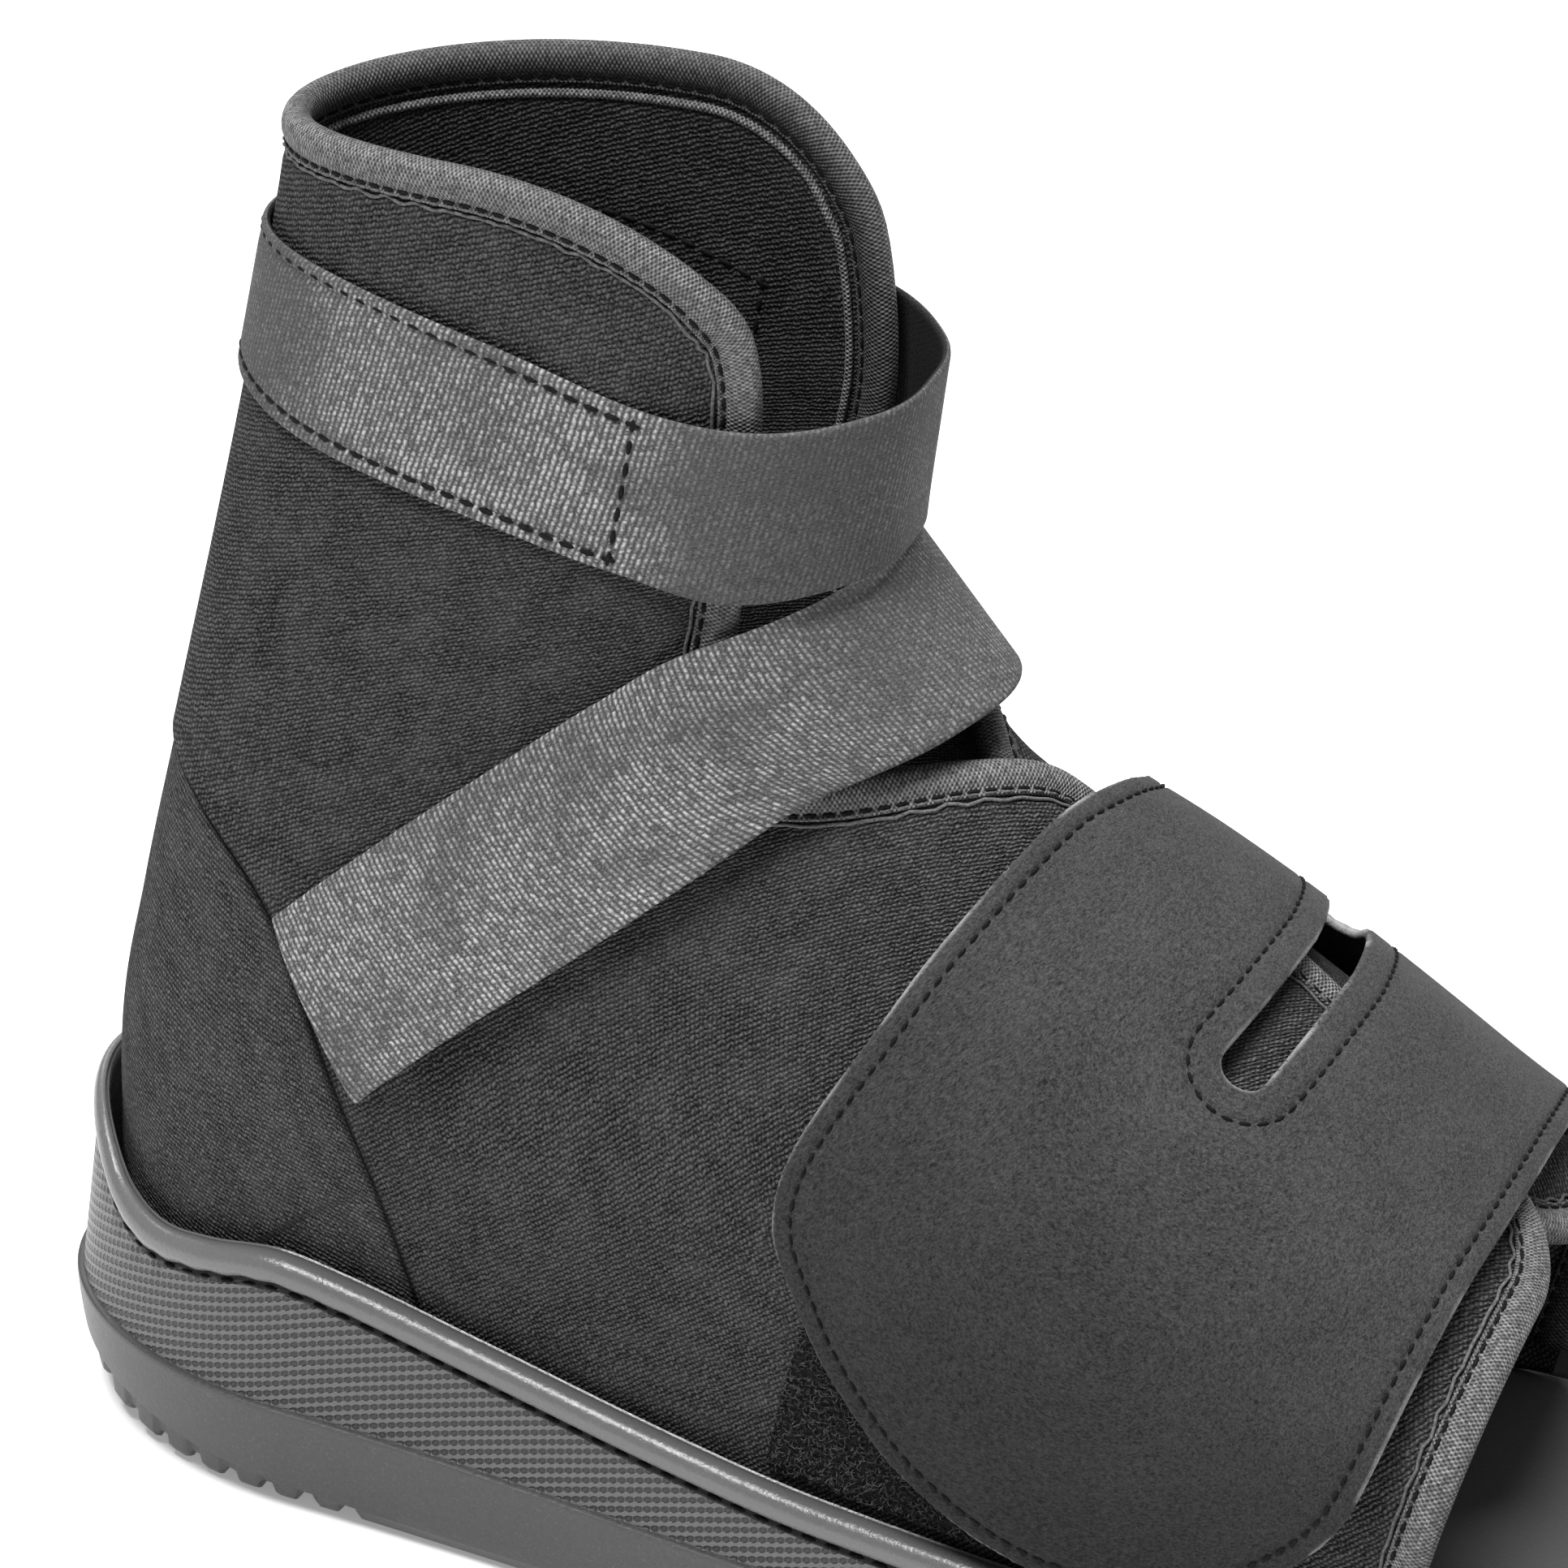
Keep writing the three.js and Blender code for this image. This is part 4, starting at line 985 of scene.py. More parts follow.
def pile_tree():
    """Scatters small arched loops over a surface, each turned and scaled at random."""
    tree, made, put = new_tree("loop_pile", [
        ("Density", "Float"), ("Loop", "Float"), ("Width", "Float"), ("Seed", "Int"),
        ("Material", "Material")])
    spots = made.node("GeometryNodeDistributePointsOnFaces", {"distribute_method": "RANDOM"}, {
        "Mesh": put["Geometry"], "Density": put["Density"], "Seed": put["Seed"]})
    lean = Signal(made, spots.socket.node.outputs["Rotation"])
    arc = made.node("GeometryNodeCurveArc", {}, {
        "Resolution": 4, "Radius": put["Loop"], "Sweep Angle": math.radians(215)})
    upright = made.node("GeometryNodeTransform", {}, {
        "Geometry": arc, "Rotation": (math.radians(90), 0.0, 0.0)})
    ring = made.node("GeometryNodeCurvePrimitiveCircle", {}, {"Resolution": 3, "Radius": put["Width"] * 0.5})
    loop = made.node("GeometryNodeCurveToMesh", {}, {"Curve": upright, "Profile Curve": ring})
    spin = made.node("FunctionNodeRandomValue", {"data_type": "FLOAT_VECTOR"}, {
        0: (-0.6, -0.6, 0.0), 1: (0.6, 0.6, 6.283), "Seed": put["Seed"]})
    turn = made.node("FunctionNodeRotateRotation", {"rotation_space": "LOCAL"}, (lean, spin))
    grown = made.node("FunctionNodeRandomValue", {"data_type": "FLOAT"}, {
        2: 0.55, 3: 1.25, "Seed": put["Seed"]}, 1)
    rows = made.node("GeometryNodeInstanceOnPoints", {}, {
        "Points": spots, "Instance": loop, "Rotation": turn, "Scale": grown})
    finish_tree(made, rows, put["Material"])
    return tree


STITCHES, LAID_THREAD, PILE = stitch_tree(), cord_tree(), pile_tree()
print("trees:", [t.name for t in (STITCHES, LAID_THREAD, PILE)])

# %% [markdown]
# Below the bead of the sole, a line of stitches holds the upper in the cup.

# %% Welt stitches
def outline_frame(run):
    """Points of the bare outline at distances from the heel, with the way out of the side."""
    length = run_length(np.stack([station_x, station_y], 1), 0)
    x, y = np.interp(run, length, station_x), np.interp(run, length, station_y)
    way = unit(np.stack([np.gradient(station_x, length), np.gradient(station_y, length)], 1))
    way = np.stack([np.interp(run, length, way[:, k]) for k in (0, 1)], 1)
    way = unit(way)
    return x, y, np.stack([-way[:, 1], way[:, 0]], 1), length[-1]


def path_edges(count, start=0):
    return [(start + k, start + k + 1) for k in range(count - 1)]


def stitch_size(pitch, length, width, height, finish=thread):
    """Inputs of the stitch tree, in metres."""
    return {"Pitch": pitch, "Length": length, "Width": width, "Height": height, "Material": finish}


def sew(name, lines, values, slot):
    """Grows one piece of stitches on several lines, each a pair of points and ways up."""
    points = np.concatenate([line for line, _ in lines])
    up = np.concatenate([way for _, way in lines])
    starts = np.cumsum([0] + [len(line) for line, _ in lines])
    edges = [e for (line, _), s in zip(lines, starts) for e in path_edges(len(line), s)]
    tree = LAID_THREAD if "Pitch" not in values else STITCHES
    return grow(name, points, {"up": up}, tree, values, slot, edges)


def welt_line():
    total = outline_frame(np.array([0.0]))[3]
    x, y, out, _ = outline_frame(np.linspace(0.0, total, 500))
    inset = rim_lean(2.35, x)
    z = read(RIM, x, "z") - 6.35
    line = np.stack([x - out[:, 0] * inset, y - out[:, 1] * inset, z], 1)
    return line, np.stack([out[:, 0], out[:, 1], 0 * z], 1)


welt, welt_up = welt_line()
sew("welt_stitches", [(welt, welt_up), (welt * MIRROR, welt_up * MIRROR)],
    stitch_size(0.0042, 0.0028, 0.0008, 0.0009), "sole_rubber")

# %% [markdown]
# ## The upper
# The heel counter is a panel of knit round the back of the heel. Its upper edge runs down on both
# sides to the sole, under the edges of the two side walls. It is drawn as two half grids that share
# their points along the middle of the back.

# %% Heel counter
def counter_ends():
    """Hoops at which the counter begins, meets the floor of the cup and ends."""
    def below_seam(at):
        back = hoop(at, 0)
        return read(SEAM, back[..., 0], "z") - SEAM_GAP - back[..., 2]
    top = crossing(4.0, 8.0, below_seam) + 0.08
    heel = crossing(7.5, 9.0, lambda at: WALL_FOOT - hoop(at, 0)[..., 2])
    end = crossing(heel, 11.0, lambda at: foot_turn(at) - seam_turn(at, -SEAM_GAP) + 0.5)
    return float(top), float(heel), float(end)


def heel_counter_piece():
    top, heel, end = counter_ends()
    at = packed(np.linspace(top, heel, 80), np.linspace(heel, end, 30)[1:])
    share = np.linspace(0, 1, 40) ** 1.4
    first, last = np.where(at <= heel, 0.0, foot_turn(at)), seam_turn(at, -SEAM_GAP)
    turn = first[:, None] + (last - first)[:, None] * share
    places = np.broadcast_to(at[:, None], turn.shape)
    outer, inner = (skin(places, turn, np.full(turn.shape, -depth)) for depth in (COUNTER_SET_IN, WALL))
    run = run_length(outer, 1)
    low = at > heel
    x = outer[..., 0]
    row = np.where(low[:, None], x + (run - x)[~low][-1, -1], run)
    cloth = np.stack([row, outer[..., 2] + 0.32 * x, run[:, -1:] - run], -1)
    count = turn.size
    right_index = np.arange(count).reshape(turn.shape)
    left_index = right_index + count
    left_index[at <= heel, 0] = right_index[at <= heel, 0]
    half = grid_faces(*turn.shape)
    lookup = left_index.ravel()
    faces = [half, lookup[half][:, ::-1]]
    used, packed_faces = np.unique(np.concatenate(faces), return_inverse=True)
    faces = [packed_faces.reshape(-1, 4)]
    whole = [np.concatenate([g.reshape(-1, 3), g.reshape(-1, 3) * MIRROR])[used] for g in (outer, inner)]
    both = np.concatenate([cloth.reshape(-1, 3), cloth.reshape(-1, 3) * np.array([-1, 1, 1])])[used]
    return make_sheet("knit_counter", *whole, both, faces, painted_light_heel_knit, "knit", "heel_counter")


heel_counter = heel_counter_piece()

# %% [markdown]
# ## The hem
# Every open edge of the two walls is bound by one folded tape: up the toe edge, along the throat,
# round the collar and down the other side. The walls are pinched thin under it. So the line of that
# edge comes first. To step inward from it by some millimetres, the two numbers of a place are moved
# by what that distance is worth there.

# %% Places along the walls
WALL_PLACES = packed(
    2.6 * np.linspace(0, 1, 26) ** 2,
    np.linspace(2.6, 5, 26)[1:],
    5 + np.linspace(0, 1, 26)[1:] ** 1.8,
    np.linspace(6, 9, 44)[1:],
    np.linspace(9, 13.2, 48)[1:],
    14 - 0.8 * np.linspace(1, 0, 22)[1:] ** 2,
)


# %% The open edge of a wall
def step_rates(at, turn, inward, **form):
    """How much the two numbers of a place change for each millimetre in a direction."""
    by_at = np.where(at < 7, 0.02, -0.02)
    edge = hoop(at, turn, **form)
    a = (hoop(at + by_at, turn, **form) - edge) / by_at[..., None]
    t = (hoop(at, turn - 0.5, **form) - edge) / -0.5
    aa, mixed, tt = (a * a).sum(-1), (a * t).sum(-1), (t * t).sum(-1)
    ab, tb = (a * inward).sum(-1), (t * inward).sum(-1)
    size = 1 / (aa * tt - mixed ** 2)
    return size * (ab * tt - tb * mixed), size * (tb * aa - ab * mixed)


PINCH = 0.8


class Hem:
    """The open edge of one wall, and places at a distance from it."""

    def __init__(self, left):
        self.form, self.sided = {"lap": left}, MIRROR if left else np.ones(3)
        toe = np.linspace(rim_turn(14.0, 1.6), edge_turn(14.0, left), 40)
        places = WALL_PLACES[::-1][1:]
        collar = np.linspace(edge_turn(0.0, left), 0.0, 70)[1:]
        self.at = packed(np.full(40, 14.0), places, np.zeros(69))
        self.turn = packed(toe, edge_turn(places, left), collar)
        after = np.append(self.at[1:], self.at[-2]), np.append(self.turn[1:], -self.turn[-2])
        before = np.append(self.at[0], self.at[:-1]), np.append(self.turn[0], self.turn[:-1])
        way = hoop(*after, **self.form) - hoop(*before, **self.form)
        self.inward = unit(np.cross(outward(self.at, self.turn, **self.form), way))
        self.rates = step_rates(self.at, self.turn, self.inward, **self.form)

    def line(self, depth, off):
        """A line along the hem: depth goes into the wall, or past its edge if negative."""
        inside = np.maximum(depth, 0.0)
        at = self.at + self.rates[0] * inside
        turn = self.turn + self.rates[1] * inside
        past = np.minimum(depth, 0.0) * np.ones_like(self.at)
        point = skin(at, turn, off * np.ones_like(at), **self.form) + self.inward * past[..., None]
        return point * self.sided

    def distance(self, points):
        """How far points of the unmirrored wall lie from its open edge."""
        edge = hoop(self.at, self.turn, **self.form)
        rows = [np.linalg.norm(p[:, None] - edge, axis=-1).min(1) for p in points]
        return np.stack(rows)

    def up(self, depth):
        at, turn = self.at + self.rates[0] * depth, self.turn + self.rates[1] * depth
        return outward(at, turn, **self.form) * self.sided


right_hem, left_hem = Hem(False), Hem(True)


def round_boot(make, keep=slice(None)):
    """A line on the right wall, carried on along the left one."""
    return np.concatenate([make(right_hem)[keep], make(left_hem)[keep][-2::-1]])


print("hem length, mm:", run_length(round_boot(lambda h: h.line(0, 0)), 0)[-1].round())

# %% [markdown]
# The two side walls, or quarters, run from the middle of the back over the ankle to the toes. The
# edge along the counter is a cut edge that laps over it, so it is rounded off. The grain of the
# knit lies level at the collar and climbs towards the toes below the ankle, as on the real boot.

# %% Quarters
def walked(start, steps):
    """Distance walked along each hoop, counted from a start."""
    return start + np.concatenate([0 * steps[:, :1], np.cumsum(steps, 1)], 1)


def grain(at, points):
    """Two distances on the flat knit: along its rows and across them."""
    level = np.linalg.norm(np.diff(points[..., :2], axis=1), axis=-1)
    over = np.linalg.norm(np.diff(points[..., 1:], axis=1), axis=-1)
    x = blend(walked(points[:, :1, 0], level), points[..., 0] + 10, smooth(at, 2.6, 5.2)[:, None])
    z = blend(points[..., 2], walked(points[:, :1, 2], over), smooth(at, 6.2, 8.8)[:, None])
    slope = np.arctan(0.4 + 0.5 * (1 - smooth(points[..., 2], 90, 200)))
    return x * np.cos(slope) + z * np.sin(slope), z * np.cos(slope) - (x - 75) * np.sin(slope)


def quarter_piece(name, left):
    form = {"lap": left}
    at = WALL_PLACES
    first = np.maximum(seam_turn(at, SEAM_GAP), 0.4)
    edge = edge_turn(at, left)
    near = np.linalg.norm(hoop(at, first + 1, **form) - hoop(at, first, **form), axis=-1)
    far = np.linalg.norm(hoop(at, edge, **form) - hoop(at, edge - 1, **form), axis=-1)
    lip = np.array([0, 0.1, 0.35, 0.8, 1.6, 3.2])
    start, tape_line = first + lip[-1] / near, edge - 12 / far
    middle = start[:, None] + (tape_line - start)[:, None] * np.linspace(0, 1, 60)[1:]
    tail = tape_line[:, None] + (edge - tape_line)[:, None] * np.linspace(0, 1, 12)[1:]
    turn = np.concatenate([first[:, None] + lip / near[:, None], middle, tail], 1)
    places = np.broadcast_to(at[:, None], turn.shape)
    flat = hoop(places, turn, **form)
    run = run_length(flat, 1)
    row, rise = grain(at, flat)
    hand = 0.2 * np.sin(run / 15 + rise / 19) + 0.15 * np.sin(run / 9 - rise / 24)
    bound = 1 - smooth((left_hem if left else right_hem).distance(flat), 5.2, 8.5)
    calm = smooth(run, 2, 12) * (1 - bound)
    off = -0.9 * (1 - round_edge(run, 0.9)) + (hand - 0.35) * calm - PINCH * bound
    outer = skin(places, turn, off, **form)
    inner = skin(places, turn, PINCH * bound - WALL, **form)
    cloth = np.stack([row, rise, run], -1)
    sided = MIRROR if left else np.ones(3)
    return grid_sheet("knit_" + name, outer * sided, inner * sided, cloth, knit, "knit", name)


quarter_right = quarter_piece("quarter_right", False)
quarter_left = quarter_piece("quarter_left", True)

# %% Binding
TAPE_OUT = [(5.3, -0.62), (5.2, -0.15), (4.95, 0.02), (4.65, -0.2), (4.35, -0.3), (4.05, -0.18), (3.5, 0.25),
            (2.7, 0.62), (1.8, 0.78), (0.9, 0.74), (0.1, 0.55), (-0.55, 0.15), (-1.0, -0.45), (-1.25, -1.0),
            (-1.3, -1.5)]
TAPE_IN = [(d, -WALL - off) for d, off in TAPE_OUT[-2::-1]]
TAPE_BACK = [(4.5, -2.45), (2.5, -2.75), (0.4, -2.7), (-0.3, -2.2), (-0.3, -0.8), (0.4, -0.3), (2.5, -0.25),
             (4.5, -0.55)]


def hem_tube(name, section, middle, finish, node=None, keep=slice(None)):
    """A closed tube along the hem: pairs of depth and height, measured along its middle one."""
    grid = np.stack([round_boot(lambda hem: hem.line(d, off), keep) for d, off in section], 1)
    rows, size = grid.shape[:2]
    along = run_length(grid[:, middle], 0)
    across = run_length(grid, 1)
    cloth = np.stack([np.broadcast_to(along[:, None], across.shape), across, across], -1)
    caps = [np.array([np.arange(size)[::-1]]), np.array([np.arange(size) + (rows - 1) * size])]
    return make_piece(name, grid.reshape(-1, 3), [tube_faces(rows, size), *caps], finish,
                      {"cloth": cloth.reshape(-1, 3)}, node)


edge_binding = hem_tube("bound_edge", TAPE_OUT + TAPE_IN + TAPE_BACK, len(TAPE_OUT) - 1, tape, "edge_binding")

# %% Stitches and threads of the binding
def hem_sewing(name, depth, off, values, sway=0.0, inside=False):
    run = run_length(right_hem.line(0, 0), 0)
    waves = depth + sway * np.sin(run / 0.95) * (0.6 + 0.4 * np.sin(run / 5.3))
    sign = -1.0 if inside else 1.0
    line = round_boot(lambda hem: hem.line(waves, off))
    up = round_boot(lambda hem: hem.up(depth) * sign)
    return sew(name, [(line, up)], values, "tape")


SEWING = stitch_size(0.0028, 0.0023, 0.0007, 0.0007)
STRAP_SEWING = stitch_size(0.0033, 0.0026, 0.0009, 0.0009)
FLAP_STITCH = stitch_size(0.0028, 0.002, 0.0006, 0.0008)
LOOPS = stitch_size(0.00275, 0.0016, 0.0005, 0.0006, pale_thread)
binding_stitches = hem_sewing("binding_stitches", 4.35, -0.2, SEWING)
lining_stitches = hem_sewing("lining_stitches", 4.35, 0.2 - WALL, SEWING, inside=True)
hem_thread = hem_sewing("hem_thread", 5.9, -0.45, {"Width": 0.0006, "Material": pale_thread}, 0.4)
hem_loops = hem_sewing("hem_loops", 4.95, 0.0, LOOPS)

# The tape's woven border shows inside the boot, below the fold.
SELVAGE = [(6.2, -2.7), (6.4, -3.2), (6.9, -3.4), (7.4, -3.35), (7.6, -3.1), (6.9, -2.8)]
SELVAGE_END = 8.3
selvage = hem_tube("selvage", SELVAGE, 2, selvage_tape, keep=right_hem.at < SELVAGE_END)

# %% [markdown]
# ## The straps
# The collar strap is one length of webbing. It is sewn round the back of the collar from the left
# side to the right, then goes free across the throat and lands on its own start. Its two edges are
# given on the hoops. Between them lie rows at fixed distances from the edges, closer together where
# the cut edge is rounded and where the sewing pulls the webbing down.

# %% Collar strap
COLLAR_STRAP = table("turn upper lower off", """
    -110 2.46 3.62 0
    -82 2.15 3.27 0
    -47 1.93 3.07 0
    0 1.9 2.92 0
    47 1.93 3.07 0
    82 2.15 3.27 0
    110 2.46 3.62 0
    128 2.5 3.85 2.6
    151 2.47 3.92 0.6
    180 2.45 3.97 -1.6
    209 2.45 3.95 0.2
    232 2.42 3.85 2.9
    250 2.42 3.62 2.6
    278 2.15 3.3 2.3
""")
STRAP_GAP, STRAP_HALF, STRAP_WIDTH, SEWN_IN, SEWN_END = 0.2, 0.65, 30, 2.5, 108.4
edge_rows = np.array([0, 0.1, 0.35, 0.8, 1.4, 1.9, 2.2, 2.5, 2.8, 3.1, 3.7, 5.0, 8.0, 11.5])
STRAP_ROWS = packed(edge_rows, [15.0], STRAP_WIDTH - edge_rows[::-1]) / STRAP_WIDTH
SEWN_DENT = 0.42


def strap_places(name, middle):
    """Distances on a strap's grid: along it, across it, from its sides and from any edge."""
    across = run_length(middle, 1)
    along = np.broadcast_to(run_length(middle[:, len(STRAP_ROWS) // 2], 0)[:, None], across.shape)
    side = np.minimum(across, across[:, -1:] - across)
    edge = np.minimum(side, np.minimum(along, along[-1] - along))
    print(name, "is", along[-1, 0].round(), "mm long and", across[:, -1].mean().round(1), "wide")
    return np.stack([along, across, edge], -1), side, STRAP_HALF * round_edge(edge, 0.8)


def collar_place(turn, share):
    at = blend(read(COLLAR_STRAP, turn, "upper"), read(COLLAR_STRAP, turn, "lower"), share)
    return at, np.broadcast_to(turn, np.shape(at))


def collar_strap_piece():
    turn = packed([-110, -109.8, -109.4, -108.8, -108], np.linspace(-107, 275.5, 330),
                  [276.4, 277.2, 277.7, 278])
    at, turns = collar_place(turn[:, None], STRAP_ROWS)
    lift = STRAP_GAP + read(COLLAR_STRAP, turns, "off")
    cloth, side, half = strap_places("collar strap", skin(at, turns, lift + STRAP_HALF))
    sewn = smooth(turns, -110, -108) * (1 - smooth(turns, 108, 111))
    cross = np.exp(-((turns - SEWN_END) / 0.9) ** 2) * (side > 2.2)
    dent = -SEWN_DENT * sewn * np.exp(-((side - SEWN_IN) / 0.4) ** 2) - SEWN_DENT * cross
    outer = skin(at, turns, lift + STRAP_HALF + half + dent)
    inner = skin(at, turns, lift + STRAP_HALF - half)
    side_on = np.abs(turns)
    # painted highlight: the floats glint most on the sides of the collar, least at its back and beyond the
    # sewn ends
    shine = 0.12 + 0.88 * smooth(side_on, 30, 80) * (1 - smooth(side_on, 106, 122))
    return grid_sheet("collar_webbing", outer, inner, cloth, webbing, "webbing", "collar_strap", shine=shine)


collar_strap = collar_strap_piece()

# %% Sewing of the collar strap
def strap_line(turn, share, off):
    at, turns = collar_place(turn, share)
    return skin(at, turns, np.full(np.shape(at), off)), outward(at, turns)


def strap_lines(off, flip):
    near = SEWN_IN / STRAP_WIDTH
    long_way, short_way = np.linspace(-SEWN_END, SEWN_END, 260), np.linspace(near, 1 - near, 30)
    lines = [strap_line(long_way, np.full(260, share), off) for share in (near, 1 - near)]
    lines += [strap_line(np.full(30, end), short_way, off) for end in (SEWN_END, -SEWN_END)]
    return [(line, up * flip) for line, up in lines]


strap_stitches = sew("strap_stitches", strap_lines(STRAP_GAP + 2 * STRAP_HALF - 0.28, 1.0), STRAP_SEWING,
                     "webbing")
strap_stitches_inside = sew("strap_stitches_inside", strap_lines(-WALL - 0.05, -1.0), STRAP_SEWING, "knit")

# %% [markdown]
# The ankle strap lies over the instep and comes down on both sides towards the heel. Over the open
# throat nothing holds it up, so there it is pulled straight between its two edges. Its square end on
# the right is not pressed down all the way, so its lower corner lifts and throws a shadow.

# %% Ankle strap
ANKLE_STRAP = table("row upper upperTurn lower lowerTurn upperOff lowerOff bridge", """
    -1 4.05 207.5 6.7 198.8 -1.8 4.6 4.2
    0 4 180 6.88 180 -3.4 6 5.4
    1 4.05 152.5 6.7 161.2 -1.8 4.6 4.2
    2 4.25 125 6.45 139.6 2.4 3 1.2
    3 4.67 110.8 6.75 122.2 0.9 1.1 0.2
    4 5.22 94 7.12 105.8 0 0 0
    5 6.13 64 7.64 78.5 0 0 0
""")


def ankle_strap_piece():
    row = np.sort(packed(np.linspace(-4.96, 4.96, 210), [-5, -4.995, -4.985, 4.985, 4.995, 5]))
    rows, share = np.meshgrid(row, STRAP_ROWS, indexing="ij")
    value = lambda name: read(ANKLE_STRAP, np.abs(rows), name)
    at = blend(value("upper"), value("lower"), share)
    turn = blend(value("upperTurn"), value("lowerTurn"), share)
    loose = 1.7 * smooth(np.abs(rows), 4.1, 5.0) * (0.25 + 0.75 * share)
    loose = loose + 2.4 * share ** 3 * smooth(np.abs(rows), 2.2, 3.4)
    bridge = 4 * share * (1 - share) * value("bridge")
    lift = STRAP_GAP + blend(value("upperOff"), value("lowerOff"), share) + bridge + loose
    sided = np.where(rows[..., None] < 0, MIRROR, 1.0)
    draped = skin(at, turn, lift + STRAP_HALF) * sided
    taut = 1 - smooth(np.abs(rows), 1.1, 2.2)[..., None]
    middle = blend(draped, blend(draped[:, :1], draped[:, -1:], share[..., None]), taut)
    over = outward(at, turn) * sided
    square = unit(np.cross(np.gradient(middle, axis=0), np.gradient(middle, axis=1)))
    square = square * np.sign((square * over).sum(-1, keepdims=True))
    way = unit(blend(over, square, taut))
    cloth, _, half = strap_places("ankle strap", middle)
    outer, inner = middle + way * half[..., None], middle - way * half[..., None]
    # painted highlight: the floats glint more on the strap's sides than over the middle of the throat
    shine = 0.25 + 0.6 * smooth(np.abs(rows), 0.9, 2.6)
    return grid_sheet("ankle_webbing", outer, inner, cloth, webbing, "webbing", "ankle_strap", shine=shine)


ankle_strap = ankle_strap_piece()

# %% [markdown]
# ## The landing patch and the flap
# The flap grips a patch of loop pile on the right of the forefoot. The patch is a thin backing with
# thousands of tiny loops scattered over it by a tree with a fixed seed.

# %% Landing patch
def patch_piece():
    along, up = np.meshgrid(np.linspace(0, 1, 46), np.linspace(0, 1, 36), indexing="ij")
    at = blend(blend(10.85, 9.9, up), 13.0, along)
    turn = blend(rim_turn(at, 1.4), 116.0, up)
    middle = skin(at, turn, np.full(at.shape, 0.9))
    u, v = run_length(middle, 0), run_length(middle, 1)
    edge = np.minimum(np.minimum(u, u[-1:] - u), np.minimum(v, v[:, -1:] - v))
    half = 0.4 * round_edge(edge, 0.6)
    outer, inner = skin(at, turn, 0.8 + half), skin(at, turn, 0.8 - half)
    cloth = np.stack([u, v, edge], -1)
    backing = grid_sheet("pile_patch", outer, inner, cloth, pile_back, "pile", "hook_patch")
    loops = grow("patch_loops", outer.reshape(-1, 3), {}, PILE, {
        "Density": 2.1e6, "Loop": 0.0005, "Width": 0.00016, "Seed": 11, "Material": pile}, "pile",
        faces=grid_faces(*at.shape)[:, ::-1].tolist())
    return backing, loops


hook_patch, patch_loops = patch_piece()
print("patch area, mm2:", round(half_area(hook_patch) * 1e6))

# %% [markdown]
# The flap comes from the left over the forefoot and ends in a rounded tongue on the right. A slot
# through its middle lets it bend. Its outline and slot are closed lines, so the sheet is a
# triangle mesh between them. Rings of points beside each line let the raw edges be round, and let
# the sewing sink in. Places keep their two numbers all the way, so the sheet lies on its form.

# %% Outline of the flap
FLAP = table("turn rear front", """
    58.3 12.05 12.2
    59 11.93 12.38
    60.5 11.76 12.55
    63 11.56 12.72
    68 11.24 12.93
    74 10.94 13.08
    82 10.57 13.24
    89 10.27 13.34
    98 9.86 13.41
    108 9.55 13.43
    125 9.19 13.43
    138 8.91 13.43
    150 8.73 13.44
    157 8.67 13.46
    164 8.64 13.48
    172 8.67 13.49
    180 8.78 13.5
    190 8.95 13.5
    203 9.2 13.5
    218 9.31 13.48
    240 9.43 13.46
    270 9.63 13.4
    298 9.95 13.3
""")
FLAP_FORM = {"grow": 4.4, "lift": 4.6}
FLAP_HALF = 0.85


def even_line(at, turn, step):
    """A closed line of places, with points at even distances."""
    at, turn = np.append(at, at[0]), np.append(turn, turn[0])
    run = run_length(hoop(at, turn, **FLAP_FORM), 0)
    spots = np.linspace(0, run[-1], int(run[-1] / step) + 1)[:-1]
    return np.stack([np.interp(spots, run, at), np.interp(spots, run, turn)], 1)


def flap_outline():
    turn = packed(np.linspace(58.3, 90, 160), np.linspace(90, 298, 240)[1:])
    rear, front = read(FLAP, turn, "rear"), read(FLAP, turn, "front")
    left = np.linspace(rear[-1], front[-1], 60)[1:-1]
    tip = np.linspace(front[0], rear[0], 8)[1:-1]
    at = packed(rear, left, front[::-1], tip)
    return even_line(at, packed(turn, np.full(58, 298.0), turn[::-1], np.full(6, 58.3)), 1.3)


def slot_outline():
    half_turn, rounding = 38.0, 3.6
    straight = half_turn - rounding
    from_middle = packed(np.linspace(-half_turn, -straight, 24), np.linspace(-straight, straight, 140)[1:-1],
                         np.linspace(straight, half_turn, 24))
    beyond = np.maximum(np.abs(from_middle) - straight, 0) / rounding
    half = 0.17 * np.sqrt(np.maximum(1 - beyond ** 2, 0))
    line = 11.23 - 0.0015 * np.abs(from_middle)
    at = packed(line + half, (line - half)[::-1][1:-1])
    return even_line(at, 187 + packed(from_middle, from_middle[::-1][1:-1]), 1.0)


outline, slot = flap_outline(), slot_outline()
print("points on the outline and the slot:", len(outline), len(slot))

# %% Rings beside a line
FLAT = np.array([25.0, 1.0])


def turns_left(line):
    x, y = (line * FLAT).T
    return (x * np.roll(y, -1) - np.roll(x, -1) * y).sum() > 0


def ring_beside(line, distance, outside=False):
    """The line moved over the cloth by a distance in millimetres, into the sheet."""
    sign = 1.0 if turns_left(line) != outside else -1.0
    moved = line.copy()
    steps = max(1, int(math.ceil(distance / 1.5)))
    for _ in range(steps):
        after, before = np.roll(moved, -2, 0), np.roll(moved, 2, 0)
        run = hoop(*after.T, **FLAP_FORM) - hoop(*before.T, **FLAP_FORM)
        inward = sign * unit(np.cross(outward(*moved.T, **FLAP_FORM), run))
        rates = step_rates(moved[:, 0], moved[:, 1], inward, **FLAP_FORM)
        moved = moved + np.stack(rates, 1) * (distance / steps)
    return moved


